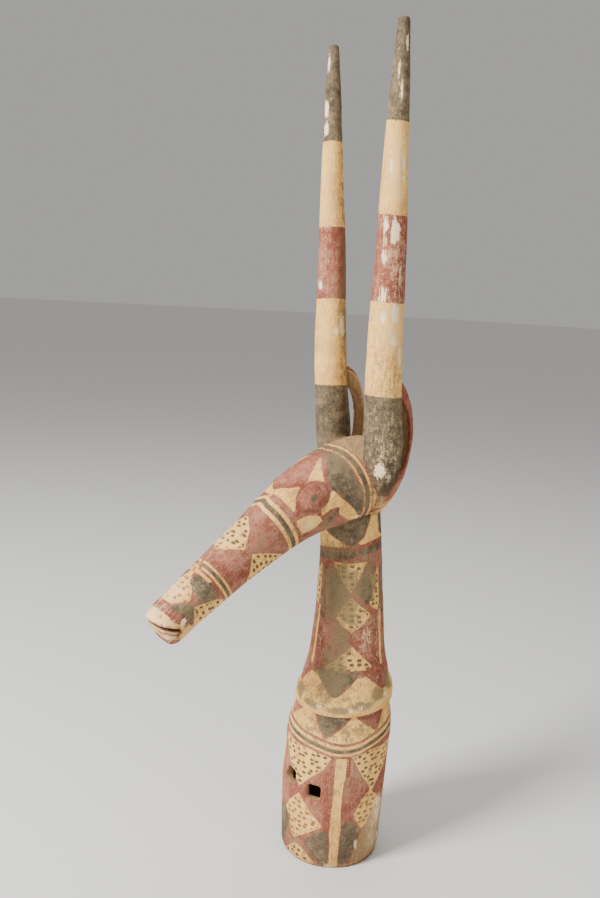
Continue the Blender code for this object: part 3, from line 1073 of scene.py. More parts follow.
class BasePaint(FormPaint):
    """Zigzags, a ring, and below it dotted triangles, diamonds and stripes in four sectors."""

    STRIPES = (-33.0, 57.0, 146.0, 236.0, 327.0)
    CENTRES = (12.0, 98.0, 190.0, 281.0)
    REACH = 1.18
    RING = ((-180, 183), (-60, 181), (-23, 180), (2, 177.5), (19, 175), (32, 172.5), (44, 169), (54, 167.5),
            (65, 168), (76, 170.5), (88, 175), (104, 179), (122, 183), (180, 183))
    ZIGZAG_CENTRE, ZIGZAG_STEP, ZIGZAG_HALF, ZIGZAG_EDGE = 35.0, 60.0, 23.0, 2.5
    # mm from the ring to the zigzag's ground, from there to its points, and their height; and the edges' slope
    ZIGZAG_GROUND, ZIGZAG_POINT, ZIGZAG_TALL, ZIGZAG_SLOPE = 11.5, 4.0, 26.0, 0.75
    # pigment, lowest and highest mm from the ring's middle
    RING_BANDS = ((Pigment.RED, -10.0, 11.5), (Pigment.CREAM, -6.4, 7.6), (Pigment.BLACK, -2.7, 2.6))
    STRIPE_HALF = 5.6
    STRIPE_EDGE, STRIPE_TOP = 1.6, 158
    DOTTED_TOP = Patch(Pigment.CREAM, ((-36, 166), (-27, 147), (-17, 130), (0, 107), (9, 120), (27, 141),
                                       (36, 164)),
                       Pigment.BLACK)
    DOTTED_FOOT = Patch(Pigment.CREAM, ((-2, 25), (11, 18), (25, 3), (-24, 3), (-12, 15)), Pigment.BLACK)
    TEETH = (
        ((38, 56), (30, 52), (19, 46), (10, 34), (13, 23), (21, 13), (36, 2), (42, 2), (42, 56)),
        ((-38, 66), (-26, 68), (-14, 56), (-14, 39), (-20, 33), (-22, 18), (-35, 3), (-42, 3), (-42, 66)),
    )
    WORN = Patch(Pigment.WOOD, ((117, 82), (101, 78), (96, 62), (87, 54), (80, 43), (90, 37), (80, 24),
                                (76, 8), (84, 2),
                                (127, 2), (132, 30), (124, 56)))
    CHIPS = (
        ((107, 92), (114, 90), (117, 74), (118, 60), (113, 58), (111, 76)),
        ((80, 41), (85, 39), (86, 30), (84, 23), (80, 26)),
        ((122, 34), (128, 30), (126, 12), (121, 16)),
        ((48, 5), (60, 4), (62, 1), (46, 1)),
    )
    PALE = (
        Smudge(114, 66, 18, 30, 0.9), Smudge(108, 30, 18, 22, 0.7), Smudge(-28, 60, 12, 50, 0.3),
        Smudge(76, 150, 26, 24, 0.35), Smudge(56, 4, 22, 5, 0.5), Smudge(190, 40, 30, 30, 0.5),
        Smudge(262, 90, 24, 40, 0.5),
    )
    # painted shadow under the collar's rim, round the top of the base, and patches of grime lower down
    GRIME_AND_SHADE = (
        Smudge(46, 196, 60, 14, 0.75), Smudge(52, 120, 24, 34, 0.45), Smudge(24, 176, 26, 14, 0.5),
        Smudge(150, 196, 60, 14, 0.7), Smudge(-100, 190, 70, 16, 0.7),
        Smudge(230, 60, 40, 50, 0.45), Smudge(-60, 120, 30, 40, 0.4),
    )
    DIAMONDS = (
        ((0, 98), (-16, 78), (-29, 52), (-14, 38), (-4, 31), (14, 46), (31, 60), (17, 75)),
        ((-3, 109), (-14, 97), (-24, 76), (-12, 57), (0, 45), (14, 60), (26, 78), (10, 94)),
        ((1, 102), (-15, 82), (-26, 62), (-12, 46), (2, 34), (14, 48), (28, 64), (13, 84)),
        ((-1, 104), (-13, 88), (-27, 66), (-11, 50), (-1, 36), (15, 50), (27, 67), (12, 88)),
    )

    def paint(self, coat: Coat, bearing: np.ndarray, level: np.ndarray, where: np.ndarray) -> np.ndarray:
        """Paints the base.

        Args:
            coat: the layers.
            bearing: each point's bearing in degrees.
            level: its height in mm.
            where: which points belong to the base.

        Returns:
            Each point's turn within its sector, in degrees.
        """
        ring = np.interp(bearing, *zip(*self.RING))
        around = (bearing + 33.0) % 360.0 - 33.0
        stations = np.sort(self.STRIPES + self.CENTRES)
        quarter = np.interp(around, stations, np.arange(len(stations)) * 45.0 - 45.0)
        sector = np.floor((quarter + 45.0) / 90.0).astype(int) % 4
        turn = quarter - 90.0 * np.floor((quarter + 45.0) / 90.0)
        self.paint_zigzag(coat, bearing, level, ring, where)
        coat.lay_patches([self.DOTTED_TOP, self.DOTTED_FOOT], turn, level, self.REACH, where)
        for index, corners in enumerate(self.DIAMONDS):
            diamond = Patch(Pigment.CREAM, corners, Pigment.RED)
            coat.lay_patches([diamond], turn, level, self.REACH, where & (sector == index))
        teeth = [Patch(Pigment.BLACK, corners) for corners in self.TEETH]
        coat.lay_patches(teeth, turn, level, self.REACH, where)
        sway = 0.8 * np.sin(level / 13.0) + 0.4 * np.sin(level / 5.3 + turn / 40.0)
        to_stripe = (45.0 - np.abs(turn)) * self.REACH + sway
        below = where & (level < self.STRIPE_TOP)
        coat.lay_where(Pigment.RED, self.STRIPE_HALF * self.REACH + self.STRIPE_EDGE - to_stripe, below)
        coat.lay_where(Pigment.CREAM, self.STRIPE_HALF * self.REACH - to_stripe, below)
        coat.lay_bands(self.RING_BANDS, level - ring, where)
        coat.lay_patches([self.WORN], bearing, level, self.REACH, where)
        coat.weather(self, bearing, level, where)
        return turn

    def paint_zigzag(self, coat: Coat, bearing: np.ndarray, level: np.ndarray, ring: np.ndarray,
                     where: np.ndarray) -> None:
        """Hanging triangles between the collar and the ring, black and red by turns, on cream.

        Args:
            coat: the layers.
            bearing: each point's bearing in degrees.
            level: its height in mm.
            ring: the ring's height in mm at its bearing.
            where: which points belong to the base.
        """
        tooth = (bearing - self.ZIGZAG_CENTRE) / self.ZIGZAG_STEP
        index = np.floor(tooth + 0.5)
        aside = np.abs(tooth - index) * self.ZIGZAG_STEP
        floor = ring + self.ZIGZAG_GROUND
        width = self.ZIGZAG_HALF * np.clip((level - floor - self.ZIGZAG_POINT) / self.ZIGZAG_TALL, -0.5, 1.2)
        distance = (width - aside) * self.ZIGZAG_SLOPE
        above = where & (level > floor - 2)
        coat.lay_where(Pigment.CREAM, level - floor, above)
        coat.lay_where(Pigment.RED, distance + self.ZIGZAG_EDGE, above)
        coat.lay_where(Pigment.BLACK, distance, above & (index % 2 == 0))


class NeckPaint(FormPaint):
    """The mottled rim, the zigzag over it, dotted triangles and diamonds in columns, and a double ring."""

    COLUMN, COLUMNS = 55.0, 120.0
    REACH = 0.80
    ZIGZAG_CENTRE, ZIGZAG_STEP, ZIGZAG_HALF = 38.0, 72.0, 34.0
    ZIGZAG_TOP, ZIGZAG_FOOT = 267.0, 236.0
    RIM = (212.0, 238.0)
    RING_BANDS = ((Pigment.RED, -12.5, 4.0), (Pigment.BLACK, -11.5, -2.6))
    RING = ((-180, 424), (-60, 418), (-22, 418), (16, 422), (42, 425), (70, 429), (96, 434), (124, 436),
            (180, 426))
    ABOVE = (
        Patch(Pigment.BLACK, ((-8, 500), (-12, 452), (2, 446), (23, 439), (54, 430), (76, 443), (89, 465),
                              (102, 500)),
              border=1.2),
    )
    COLUMN_PATCHES = (
        Patch(Pigment.BLACK, ((12, 400), (30, 388), (46, 373), (47, 366), (38, 354), (30, 345), (18, 340),
                              (12, 360)),
              border=1.2),
        Patch(Pigment.CREAM, ((84, 401), (96, 390), (104, 370), (107, 357), (106, 343), (83, 354),
                              (92, 366), (94, 376)),
              Pigment.BLACK),
        Patch(Pigment.CREAM, ((18, 407), (50, 408), (82, 410), (68, 390), (52, 368), (36, 386)), Pigment.BLACK,
              border=1.4),
        Patch(Pigment.BLACK, ((79, 396), (94, 376), (92, 364), (84, 354), (72, 361), (60, 372), (69, 385))),
        Patch(Pigment.CREAM, ((54, 363), (70, 352), (90, 340), (74, 327), (56, 317), (42, 324), (28, 335),
                              (40, 350)),
              Pigment.BLACK, border=1.4),
        Patch(Pigment.CREAM, ((57, 300), (75, 285), (94, 269), (70, 265), (41, 264), (7, 261), (30, 278)),
              Pigment.BLACK),
        Patch(Pigment.CREAM, ((110, 404), (97, 390), (92, 374), (103, 356), (110, 350)), Pigment.BLACK),
        Patch(Pigment.CREAM, ((109, 345), (114, 345), (114, 262), (107, 262))),
        Patch(Pigment.BLACK, ((-5, 402), (1, 400), (4, 364), (9, 335), (5, 326), (-4, 336))),
        Patch(Pigment.CREAM, ((-1, 388), (0, 388), (1, 364), (0, 364))),
    )
    CHIPS = (
        ((56, 226), (65, 225), (64, 220), (57, 220)),
        ((69, 228), (75, 227), (74, 223), (68, 223)),
        ((105, 234), (114, 233), (112, 227), (104, 228)),
        ((18, 228), (24, 227), (23, 223), (17, 224)),
        ((160, 230), (170, 230), (168, 224), (158, 225)),
    )
    PALE = (
        Smudge(90, 225, 40, 6, 0.7), Smudge(30, 222, 50, 5, 0.6), Smudge(200, 226, 60, 7, 0.6),
        Smudge(-10, 350, 10, 60, 0.3), Smudge(104, 330, 8, 80, 0.35), Smudge(80, 312, 14, 20, 0.6),
        Smudge(8, 300, 16, 34, 0.3),
    )
    # grime and mottling on the rim and in the columns, and painted shade on the front of the neck under the
    # head
    GRIME_AND_SHADE = (
        Smudge(32, 266, 24, 36, 1.6), Smudge(42, 306, 17, 32, 1.5), Smudge(40, 346, 30, 28, 1.5),
        Smudge(36, 386, 38, 30, 1.5), Smudge(84, 384, 26, 34, 1.2), Smudge(10, 420, 30, 16, 1.1),
        Smudge(-20, 232, 16, 11, 1.6), Smudge(10, 226, 20, 6, 1.3), Smudge(46, 223, 22, 6, 1.4),
        Smudge(72, 227, 18, 7, 1.4), Smudge(97, 235, 14, 9, 1.5), Smudge(122, 242, 12, 12, 1.6),
        Smudge(-52, 232, 16, 6, 1.1), Smudge(172, 236, 16, 6, 1.1), Smudge(236, 234, 18, 6, 1.1),
        Smudge(-20, 236, 16, 10, 1.0), Smudge(6, 232, 12, 8, 0.7), Smudge(118, 237, 12, 8, 0.9),
        Smudge(44, 236, 30, 7, 0.7), Smudge(30, 424, 60, 12, 0.9), Smudge(60, 462, 40, 20, 0.5),
        Smudge(165, 300, 30, 60, 0.8), Smudge(-75, 290, 30, 60, 0.8), Smudge(-120, 236, 60, 9, 0.8),
        Smudge(150, 380, 40, 50, 0.5), Smudge(-100, 390, 40, 40, 0.6), Smudge(200, 450, 60, 30, 0.6),
    )

    def paint(self, coat: Coat, bearing: np.ndarray, level: np.ndarray, where: np.ndarray) -> np.ndarray:
        """Paints the neck.

        Args:
            coat: the layers.
            bearing: each point's bearing in degrees.
            level: its height in mm.
            where: which points belong to the neck.

        Returns:
            Each point's turn within its column, in degrees.
        """
        half = self.COLUMNS / 2
        turn = (bearing - self.COLUMN + half) % self.COLUMNS - half + self.COLUMN
        ring = np.interp(bearing, *zip(*self.RING))
        coat.lay_where(Pigment.CREAM, level - ring - 3.0, where)
        coat.lay_patches(self.ABOVE, turn, level, self.REACH, where & (level > 426))
        coat.lay_patches(self.COLUMN_PATCHES, turn, level, self.REACH, where)
        coat.lay_bands(self.RING_BANDS, level - ring, where)
        tooth = (bearing - self.ZIGZAG_CENTRE) / self.ZIGZAG_STEP
        index = np.floor(tooth + 0.5)
        aside = np.abs(tooth - index) * self.ZIGZAG_STEP
        up = (level - self.ZIGZAG_FOOT) / (self.ZIGZAG_TOP - self.ZIGZAG_FOOT)
        distance = np.minimum((self.ZIGZAG_HALF * up - aside) * self.REACH, self.ZIGZAG_TOP - level)
        low = where & (level < self.ZIGZAG_TOP + 3)
        coat.lay_where(Pigment.CREAM, self.ZIGZAG_TOP - 3.0 - level - aside * 0.12, low)
        coat.lay_where(Pigment.RED, distance + 2.2, low)
        coat.lay_where(Pigment.BLACK, distance, low & (index % 2 == 0))
        coat.lay_band(Pigment.CREAM, level, *self.RIM, where)
        coat.weather(self, bearing, level, where)
        return turn


class HeadPaint(FormPaint):
    """Three pairs of cream and black bands over the head, with dotted, black and cream fields between."""

    SNOUT_REACH, FACE_REACH = 0.47, 0.86
    REACH = FACE_REACH
    BROW, SNOUT_BAND = 190.0, 88.0
    # pigment, lowest and highest mm from the middle of each band
    BROW_BANDS = ((Pigment.RED, -9.0, 12.0), (Pigment.CREAM, -8.2, 7.6), (Pigment.BLACK, -3.2, 2.7))
    CROWN_BANDS = ((Pigment.RED, -8.4, 10.6), (Pigment.CREAM, -6.2, -3.6), (Pigment.BLACK, -2.8, 2.6),
                   (Pigment.CREAM, 3.2, 6.6))
    # mm behind the crown's line, and the turn below which the nape is bare wood
    NAPE, NAPE_TURN = 9.0, 70
    CROWN = ((0, 293.5), (30, 297), (60, 300), (90, 303), (180, 303))
    SNOUT = (
        Patch(Pigment.CREAM, ((-60, 112), (0, 113), (27, 118), (57, 133), (30, 155), (0, 168), (-60, 168)),
              Pigment.BLACK),
        Patch(Pigment.CREAM, ((75, 137), (97, 128), (127, 117), (150, 115), (150, 172), (128, 171),
                              (100, 155)),
              Pigment.BLACK),
        Patch(Pigment.CREAM, ((-60, 28), (-60, 80), (0, 76), (20, 66), (45, 56), (60, 46), (50, 33), (20, 30)),
              Pigment.RED),
        Patch(Pigment.BLACK, ((14, 70), (40, 79), (80, 78), (103, 72), (94, 57), (68, 54), (44, 58),
                              (24, 62))),
        Patch(Pigment.RED, ((-60, 19), (0, 19), (37, 34), (61, 48), (64, 26), (51, 18), (22, 16))),
        Patch(Pigment.BLACK, ((32, 27), (52, 41), (77, 46), (103, 37), (107, 31), (91, 26), (68, 31),
                              (49, 25))),
        Patch(Pigment.CREAM, ((77, 46), (104, 72), (122, 80), (150, 80), (150, 30), (127, 31), (100, 40)),
              Pigment.BLACK),
        Patch(Pigment.CREAM, ((104, 30), (128, 34), (180, 40), (180, 8), (112, 12))),
        Patch(Pigment.CREAM, ((-60, -5), (66, -5), (66, 17), (50, 18), (20, 17), (-60, 19))),
        Patch(Pigment.CREAM, ((66, 17), (104, 25), (104, 12), (84, 8), (66, 8))),
        Patch(Pigment.RED, ((30, -5), (96, -5), (100, 8), (86, 13), (60, 10), (40, 5))),
        Patch(Pigment.RED, ((88, -5), (130, -5), (120, 10), (104, 15), (90, 9))),
    )
    FACE = (
        Patch(Pigment.BLACK, ((-20, 282), (14, 282), (34, 269), (52, 260), (69, 260), (83, 267), (103, 277),
                              (129, 290), (129, 296), (-20, 296)), border=1.4),
        Patch(Pigment.CREAM, ((7, 278), (31, 264), (56, 255), (56, 248), (38, 240), (27, 254), (15, 269)),
              border=1.2),
        Patch(Pigment.CREAM, ((38, 233), (28, 224), (13, 217), (-6, 209), (-6, 206), (64, 207), (61, 211),
                              (48, 219))),
        Patch(Pigment.CREAM, ((66, 252), (72, 261), (90, 268), (109, 281), (137, 296), (135, 279), (112, 260),
                              (98, 261), (96, 249), (101, 235), (88, 240), (79, 248))),
        Patch(Pigment.CREAM, ((80, 204), (86, 220), (97, 232), (110, 236), (118, 222), (114, 205), (94, 202))),
        Patch(Pigment.BLACK, ((145, 238), (115, 240), (104, 254), (99, 262), (108, 259), (114, 252),
                              (127, 245))),
    )
    CHIPS = (
        ((104, 214), (106, 222), (111, 221), (110, 213)),
        ((112, 203), (113, 209), (117, 209), (116, 203)),
        ((133, 281), (127, 292), (131, 297), (137, 290)),
        ((92, 18), (78, 27), (84, 32), (101, 26)),
    )

    PALE = (
        Smudge(0, 6, 60, 16, 1.0), Smudge(62, 8, 40, 12, 0.9), Smudge(0, 45, 40, 26, 0.75),
        Smudge(95, 4, 30, 8, 0.9), Smudge(135, 20, 26, 22, 0.5), Smudge(0, 130, 24, 30, 0.35),
        Smudge(0, 180, 22, 30, 0.15), Smudge(104, 218, 14, 12, 0.8),
    )
    # grime on the face and crown, and painted shade on the underside of the head
    GRIME_AND_SHADE = (
        Smudge(116, 244, 22, 16, 0.95), Smudge(96, 190, 30, 16, 0.6), Smudge(30, 288, 40, 18, 0.75),
        Smudge(0, 312, 90, 16, 0.5), Smudge(86, 268, 26, 16, 0.5), Smudge(60, 92, 40, 12, 0.5),
        Smudge(78, 40, 26, 16, 0.5), Smudge(50, 160, 40, 26, 0.35), Smudge(100, 300, 26, 14, 0.9),
        Smudge(150, 230, 40, 90, 0.5),
    )

    def paint(self, coat: Coat, turn: np.ndarray, place: np.ndarray, where: np.ndarray) -> None:
        """Paints the bands and the fields; both sides of the head are alike.

        Args:
            coat: the layers.
            turn: each point's turn from the top in degrees.
            place: its length along the spine in mm.
            where: which points belong to the head.
        """
        turn = np.abs(turn)
        front = where & (place < self.BROW)
        coat.lay_patches(self.SNOUT, turn, place, self.SNOUT_REACH, front & (place < 180))
        coat.lay_patches(self.FACE, turn, place, self.FACE_REACH, where & (place > self.BROW))
        coat.lay_band(Pigment.RED, place - self.SNOUT_BAND, -9.0, 6.0, front)
        coat.lay_band(Pigment.CREAM, place - self.SNOUT_BAND, -12.0, -8.0, front & (turn < 60))
        coat.lay_band(Pigment.CREAM, place - self.SNOUT_BAND, -5.2, 5.0, front)
        coat.lay_band(Pigment.BLACK, place - self.SNOUT_BAND, -2.2, 1.9, front)
        bend = place - self.BROW - 4.0 * np.exp(-((turn / 14.0) ** 2))
        coat.lay_bands(self.BROW_BANDS, bend, where)
        crown = place - np.interp(turn, *zip(*self.CROWN))
        coat.lay_bands(self.CROWN_BANDS, crown, where)
        coat.lay_where(Pigment.WOOD, crown - self.NAPE, where & (turn < self.NAPE_TURN))
        coat.lay_where(Pigment.CREAM, crown - self.NAPE, where & (turn >= self.NAPE_TURN))
        coat.weather(self, turn, place, where)


class EyePaint:
    """A dusty red boss with a squarish black pupil."""

    PUPIL = (0.21, 0.25)
    PUPIL_PLACE = (0.12, 0.12)
    SOCKET = 1.12
    RADIUS = 18.0

    def paint(self, coat: Coat, local: np.ndarray, hand: float, where: np.ndarray) -> None:
        """Paints one eye.

        Args:
            coat: the layers.
            local: (n, 3) places in the boss's own unit frame.
            hand: 1 on the left and -1 on the right.
            where: which points may belong to it.
        """
        ring = np.hypot(local[:, 0], local[:, 1])
        coat.lay_where(Pigment.RED, (self.SOCKET - ring) * self.RADIUS, where)
        wide, high = self.PUPIL
        forward, down = self.PUPIL_PLACE
        square = np.minimum(wide - np.abs(local[:, 0] + forward), high - np.abs(local[:, 1] * hand - down))
        coat.lay_where(Pigment.BLACK, square * self.RADIUS, where)


class HornPaint:
    """Black, cream, red, cream and black bands, with streaks of bare plaster."""

    BANDS = {Side.LEFT: (945.0, 840.0, 739.0, 626.0), Side.RIGHT: (934.0, 829.0, 739.0, 628.0)}
    REACH = 0.33
    # how far a band rises and falls round the horn, and a height over every tip, in mm
    TILT, OVER_TIP = 1.2, 2000.0
    STREAKS = {
        # top and foot in mm, bearing and half width in degrees
        Side.LEFT: ((1040, 1018, 92, 22), (1030, 1016, 20, 8), (1012, 990, 36, 9), (988, 966, 58, 15),
                    (930, 860, 88, 12), (915, 870, 28, 9), (838, 800, 60, 20), (838, 810, 22, 13),
                    (806, 776, 24, 11), (785, 742, 92, 9), (756, 736, 28, 17), (738, 712, 78, 20),
                    (728, 710, 36, 12), (700, 686, 78, 18), (690, 660, 104, 12), (544, 521, 44, 20),
                    (529, 512, 80, 10)),
        Side.RIGHT: ((1040, 1015, 2, 22), (985, 962, 0, 26), (960, 938, -6, 22), (764, 748, 0, 14),
                     (722, 692, -98, 16), (706, 694, -70, 14)),
    }

    # painted highlight on the sides of the horns that face the key light
    PALE = {
        Side.LEFT: (Smudge(60, 790, 60, 60, 0.4), Smudge(66, 892, 50, 46, 0.6), Smudge(60, 560, 60, 60, 0.35),
                    Smudge(80, 710, 44, 44, 0.7)),
        Side.RIGHT: (Smudge(-20, 870, 60, 80, 0.35), Smudge(-40, 690, 50, 60, 0.3)),
    }
    # painted shade on the sides of the horns turned from the key light, and some grime
    GRIME_AND_SHADE = {
        Side.LEFT: (Smudge(70, 655, 70, 34, 0.6), Smudge(-120, 700, 60, 160, 0.5),
                    Smudge(150, 860, 50, 90, 0.4)),
        Side.RIGHT: (Smudge(-120, 740, 40, 240, 0.85), Smudge(60, 540, 90, 70, 0.6),
                     Smudge(150, 860, 60, 120, 0.4)),
    }

    def paint(self, coat: Coat, side: Side, height: np.ndarray, bearing: np.ndarray,
              where: np.ndarray) -> None:
        """Paints one horn by height, then lays its streaks.

        Args:
            coat: the layers.
            side: which horn.
            height: each point's height in mm.
            bearing: its bearing in degrees, outwards.
            where: which points belong to the horn.
        """
        top, red, cream, root = self.BANDS[side]
        level = height + self.TILT * np.sin(np.radians(bearing))
        coat.lay_band(Pigment.BLACK, level, top, self.OVER_TIP, where)
        coat.lay_band(Pigment.CREAM, level, red, top, where)
        coat.lay_band(Pigment.RED, level, cream, red, where)
        coat.lay_band(Pigment.CREAM, level, root, cream, where)
        coat.lay_band(Pigment.BLACK, level, 0.0, root, where)
        # a painted highlight from the pale smudges, painted shade from the grime smudges
        coat.smear("pale", self.PALE[side], bearing, height, where)
        coat.smear("grime_and_shade", self.GRIME_AND_SHADE[side], bearing, height, where)
        for high, low, middle, half in self.STREAKS[side]:
            along = (height - (high + low) / 2) / ((high - low) / 2)
            aside = ((bearing - middle + 180) % 360 - 180) / half
            blob = (1.0 - np.hypot(along, aside)) * half * self.REACH
            coat.bare(blob, where)


class EarPaint:
    """Dusty red outside with a chipped pale rim, bare and brown inside."""

    RIM, OUTER = 4.6, 3.4
    FLANK = 4.2
    CHIPS = ((-64.0, 9.0), (-24.0, 6.0), (8.0, 13.0), (48.0, 8.0))

    def paint(self, coat: Coat, turn: np.ndarray, depth: np.ndarray, aside: np.ndarray,
              where: np.ndarray) -> None:
        """Paints one ear.

        Args:
            coat: the layers.
            turn: each point's turn along the leaf in degrees.
            depth: its depth in mm under the outer face.
            aside: its distance in mm from the leaf's middle, outwards.
            where: which points belong to the ear.
        """
        coat.lay(Pigment.WOOD, np.where(where, coat.FAR, -coat.FAR))
        coat.lay_where(Pigment.CREAM, self.RIM - depth, where)
        coat.lay_where(Pigment.RED, self.OUTER - depth, where)
        coat.lay_where(Pigment.RED, aside - self.FLANK, where)
        for middle, half in self.CHIPS:
            chip = (1.0 - np.abs(turn - middle) / half) * 2.4 - np.abs(depth - 1.2)
            coat.bare(chip, where & (aside > 0))


class Painter:
    """Paints the whole crest and hands the result to the skin as attributes."""

    CUT_DEPTH = 0.0014
    HEAD_RISE = 0.62
    LIPS = (
        # pigment, lowest and highest mm over the slit
        (Pigment.CREAM, -9.0, 5.2),
        (Pigment.RED, -8.2, -4.6),
        (Pigment.BLACK, -4.4, -3.4),
        (Pigment.RED, 2.2, 3.4),
        (Pigment.BLACK, -1.1, 1.0),
    )
    # mm over the slit, half width in mm and strength of each line of painted shade in the slit and the lips'
    # grooves
    SLIT_SHADE_LINES = ((-0.6, 2.2, 1.0), (4.6, 1.0, 0.6), (-6.6, 1.1, 0.7))
    NOSTRIL_DARK = 0.62

    def __init__(self, crest: Crest) -> None:
        """Keeps the crest that is painted."""
        self.crest = crest

    def slit(self, points: np.ndarray, found: dict, head: np.ndarray) -> np.ndarray:
        """Painted shade in the mouth's slit and along the lips' edges, and darkness in the nostrils.

        Args:
            points: (n, 3) places in metres.
            found: what Crest.places gives for them.
            head: which points belong to the head.

        Returns:
            0 to 1 for each point: exp(-d squared), d the distance from each line or hole in its half widths.
        """
        above, share = self.crest.head.lip_line(points)
        dark = np.zeros(len(points))
        for middle, half, strength in self.SLIT_SHADE_LINES:
            dark = np.maximum(dark, strength * np.exp(-(((above - middle) / half) ** 2)))
        turn, along = np.abs(found["head"][1]), found["head"][0]
        middle, aside, radius, _ = Sculptor.NOSTRIL
        near = np.hypot(along - middle, (turn - aside) * HeadPaint.SNOUT_REACH) / radius
        return np.maximum(dark * share, self.NOSTRIL_DARK * np.exp(-(near**2))) * head

    def paint_lips(self, coat: Coat, points: np.ndarray, head: np.ndarray) -> None:
        """Pale lips with thin red edges and a dark slit between them.

        Args:
            coat: the layers.
            points: (n, 3) places in metres.
            head: which points belong to the head.
        """
        above, share = self.crest.head.lip_line(points)
        mouth = head & (share > 0.02)
        for pigment, low, high in self.LIPS:
            coat.lay_band(pigment, above, low * share, high * share, mouth)

    def paint(self, skin: bpy.types.Object, points: np.ndarray, found: dict) -> Coat:
        """Works out every layer for the points of the skin and stores them on it.

        Args:
            skin: the object that gets the attributes.
            points: (n, 3) places of its points, in metres.
            found: what Crest.places gives for them.

        Returns:
            The layers.
        """
        owner = found["owner"]
        coat = Coat(len(points))
        bearing, level = found["trunk"]
        trunk = owner == Form.TRUNK.value
        collar = self.crest.trunk.sizes.base_height / MM + 4.0
        base, neck = trunk & (level <= collar), trunk & (level > collar)
        sector_turn = BasePaint().paint(coat, bearing, level, base)
        column_turn = NeckPaint().paint(coat, bearing, level, neck)
        turn, along = found["head"][1], found["head"][0]
        head = owner == Form.HEAD.value
        HeadPaint().paint(coat, turn, along, head | (owner == Form.EYE.value))
        for side, form in ((Side.LEFT, Form.HORN_LEFT), (Side.RIGHT, Form.HORN_RIGHT)):
            height, around = found[f"horn_{side.name}"]
            HornPaint().paint(coat, side, height, around, owner == form.value)
            near = points[:, 0] * side.value > 0
            boss = near & (head | (owner == Form.EYE.value))
            EyePaint().paint(coat, found[f"eye_{side.name}"], side.value, boss)
        for side, form in ((Side.LEFT, Form.EAR_LEFT), (Side.RIGHT, Form.EAR_RIGHT)):
            ear_turn, depth, aside = found[f"ear_{side.name}"]
            EarPaint().paint(coat, ear_turn, depth, aside, owner == form.value)
        self.paint_lips(coat, points, head)
        cut = trunk & (found["depth"] > self.CUT_DEPTH)
        bare = (owner == Form.INSIDE.value) | (points[:, 2] < 0.0012) | cut
        coat.lay(Pigment.WOOD, np.where(bare, coat.FAR, -coat.FAR))
        u = np.select([base, neck], [sector_turn * BasePaint.REACH, column_turn * NeckPaint.REACH],
                      np.abs(turn) * np.where(along < 180, HeadPaint.SNOUT_REACH, HeadPaint.FACE_REACH))
        v = np.where(trunk, level, along)
        rise = points[:, 2] / MM - along * self.HEAD_RISE
        straight = np.where(head[:, None], np.stack([points[:, 0] / MM, rise, along], -1), points / MM)
        self.store(skin.data, "coat_a", coat.layers[Pigment.CREAM], coat.layers[Pigment.BLACK],
                   coat.layers[Pigment.WOOD])
        self.store(skin.data, "coat_b", coat.plaster, coat.dots[Pigment.BLACK], coat.dots[Pigment.RED])
        # the third number of pattern is painted shade in the creases and round the eyes, darker towards the
        # foot
        self.store(skin.data, "pattern", u, v, found["darkening"])
        # age holds fading with a painted highlight, grime with painted shade, and painted shade in the mouth
        self.store(skin.data, "age", coat.soft["pale"], coat.soft["grime_and_shade"], self.slit(points, found, head))
        self.store(skin.data, "grain", *straight.T)
        return coat

    @staticmethod
    def store(mesh: bpy.types.Mesh, name: str, *channels: np.ndarray) -> None:
        """Keeps three numbers for each point as a vector attribute."""
        layer = mesh.attributes.new(name, "FLOAT_VECTOR", "POINT")
        layer.data.foreach_set("vector", np.stack(channels, axis=-1).astype(np.float32).ravel())


class Value:
    """A number in a shader; arithmetic on it adds Math nodes."""

    def __init__(self, graph: "Graph", socket: bpy.types.NodeSocket) -> None:
        """Keeps the graph and the socket that gives the number."""
        self.graph, self.socket = graph, socket

    def math(self, operation: str, other: "Value | float") -> "Value":
        """A Math node on this value and another."""
        return Value.of(self.graph, self, operation, other)

    def __add__(self, other: "Value | float") -> "Value":
        """Sum."""
        return self.math("ADD", other)

    def __sub__(self, other: "Value | float") -> "Value":
        """Difference."""
        return self.math("SUBTRACT", other)

    def __rsub__(self, other: float) -> "Value":
        """Difference from a number."""
        return Value.of(self.graph, other, "SUBTRACT", self)

    def __mul__(self, other: "Value | float") -> "Value":
        """Product."""
        return self.math("MULTIPLY", other)

    __radd__, __rmul__ = __add__, __mul__

    @staticmethod
    def of(graph: "Graph", first: "Value | float", operation: str, second: "Value | float") -> "Value":
        """A Math node on two numbers, either of which may be plain."""
        node = graph.add("ShaderNodeMath", {"operation": operation}, first, second)
        return Value(graph, node.outputs[0])

    def highest(self, other: "Value | float") -> "Value":
        """The higher of two."""
        return self.math("MAXIMUM", other)

    def ramp(self, low: float, high: float) -> "Value":
        """Eased step.

        Args:
            low: where it is 0.
            high: where it is 1, which may be the lower of the two, and then it falls.

        Returns:
            The step.
        """
        ends = (low, high, 0.0, 1.0) if low <= high else (high, low, 1.0, 0.0)
        node = self.graph.add("ShaderNodeMapRange", {"interpolation_type": "SMOOTHSTEP"}, self, *ends)
        return Value(self.graph, node.outputs[0])


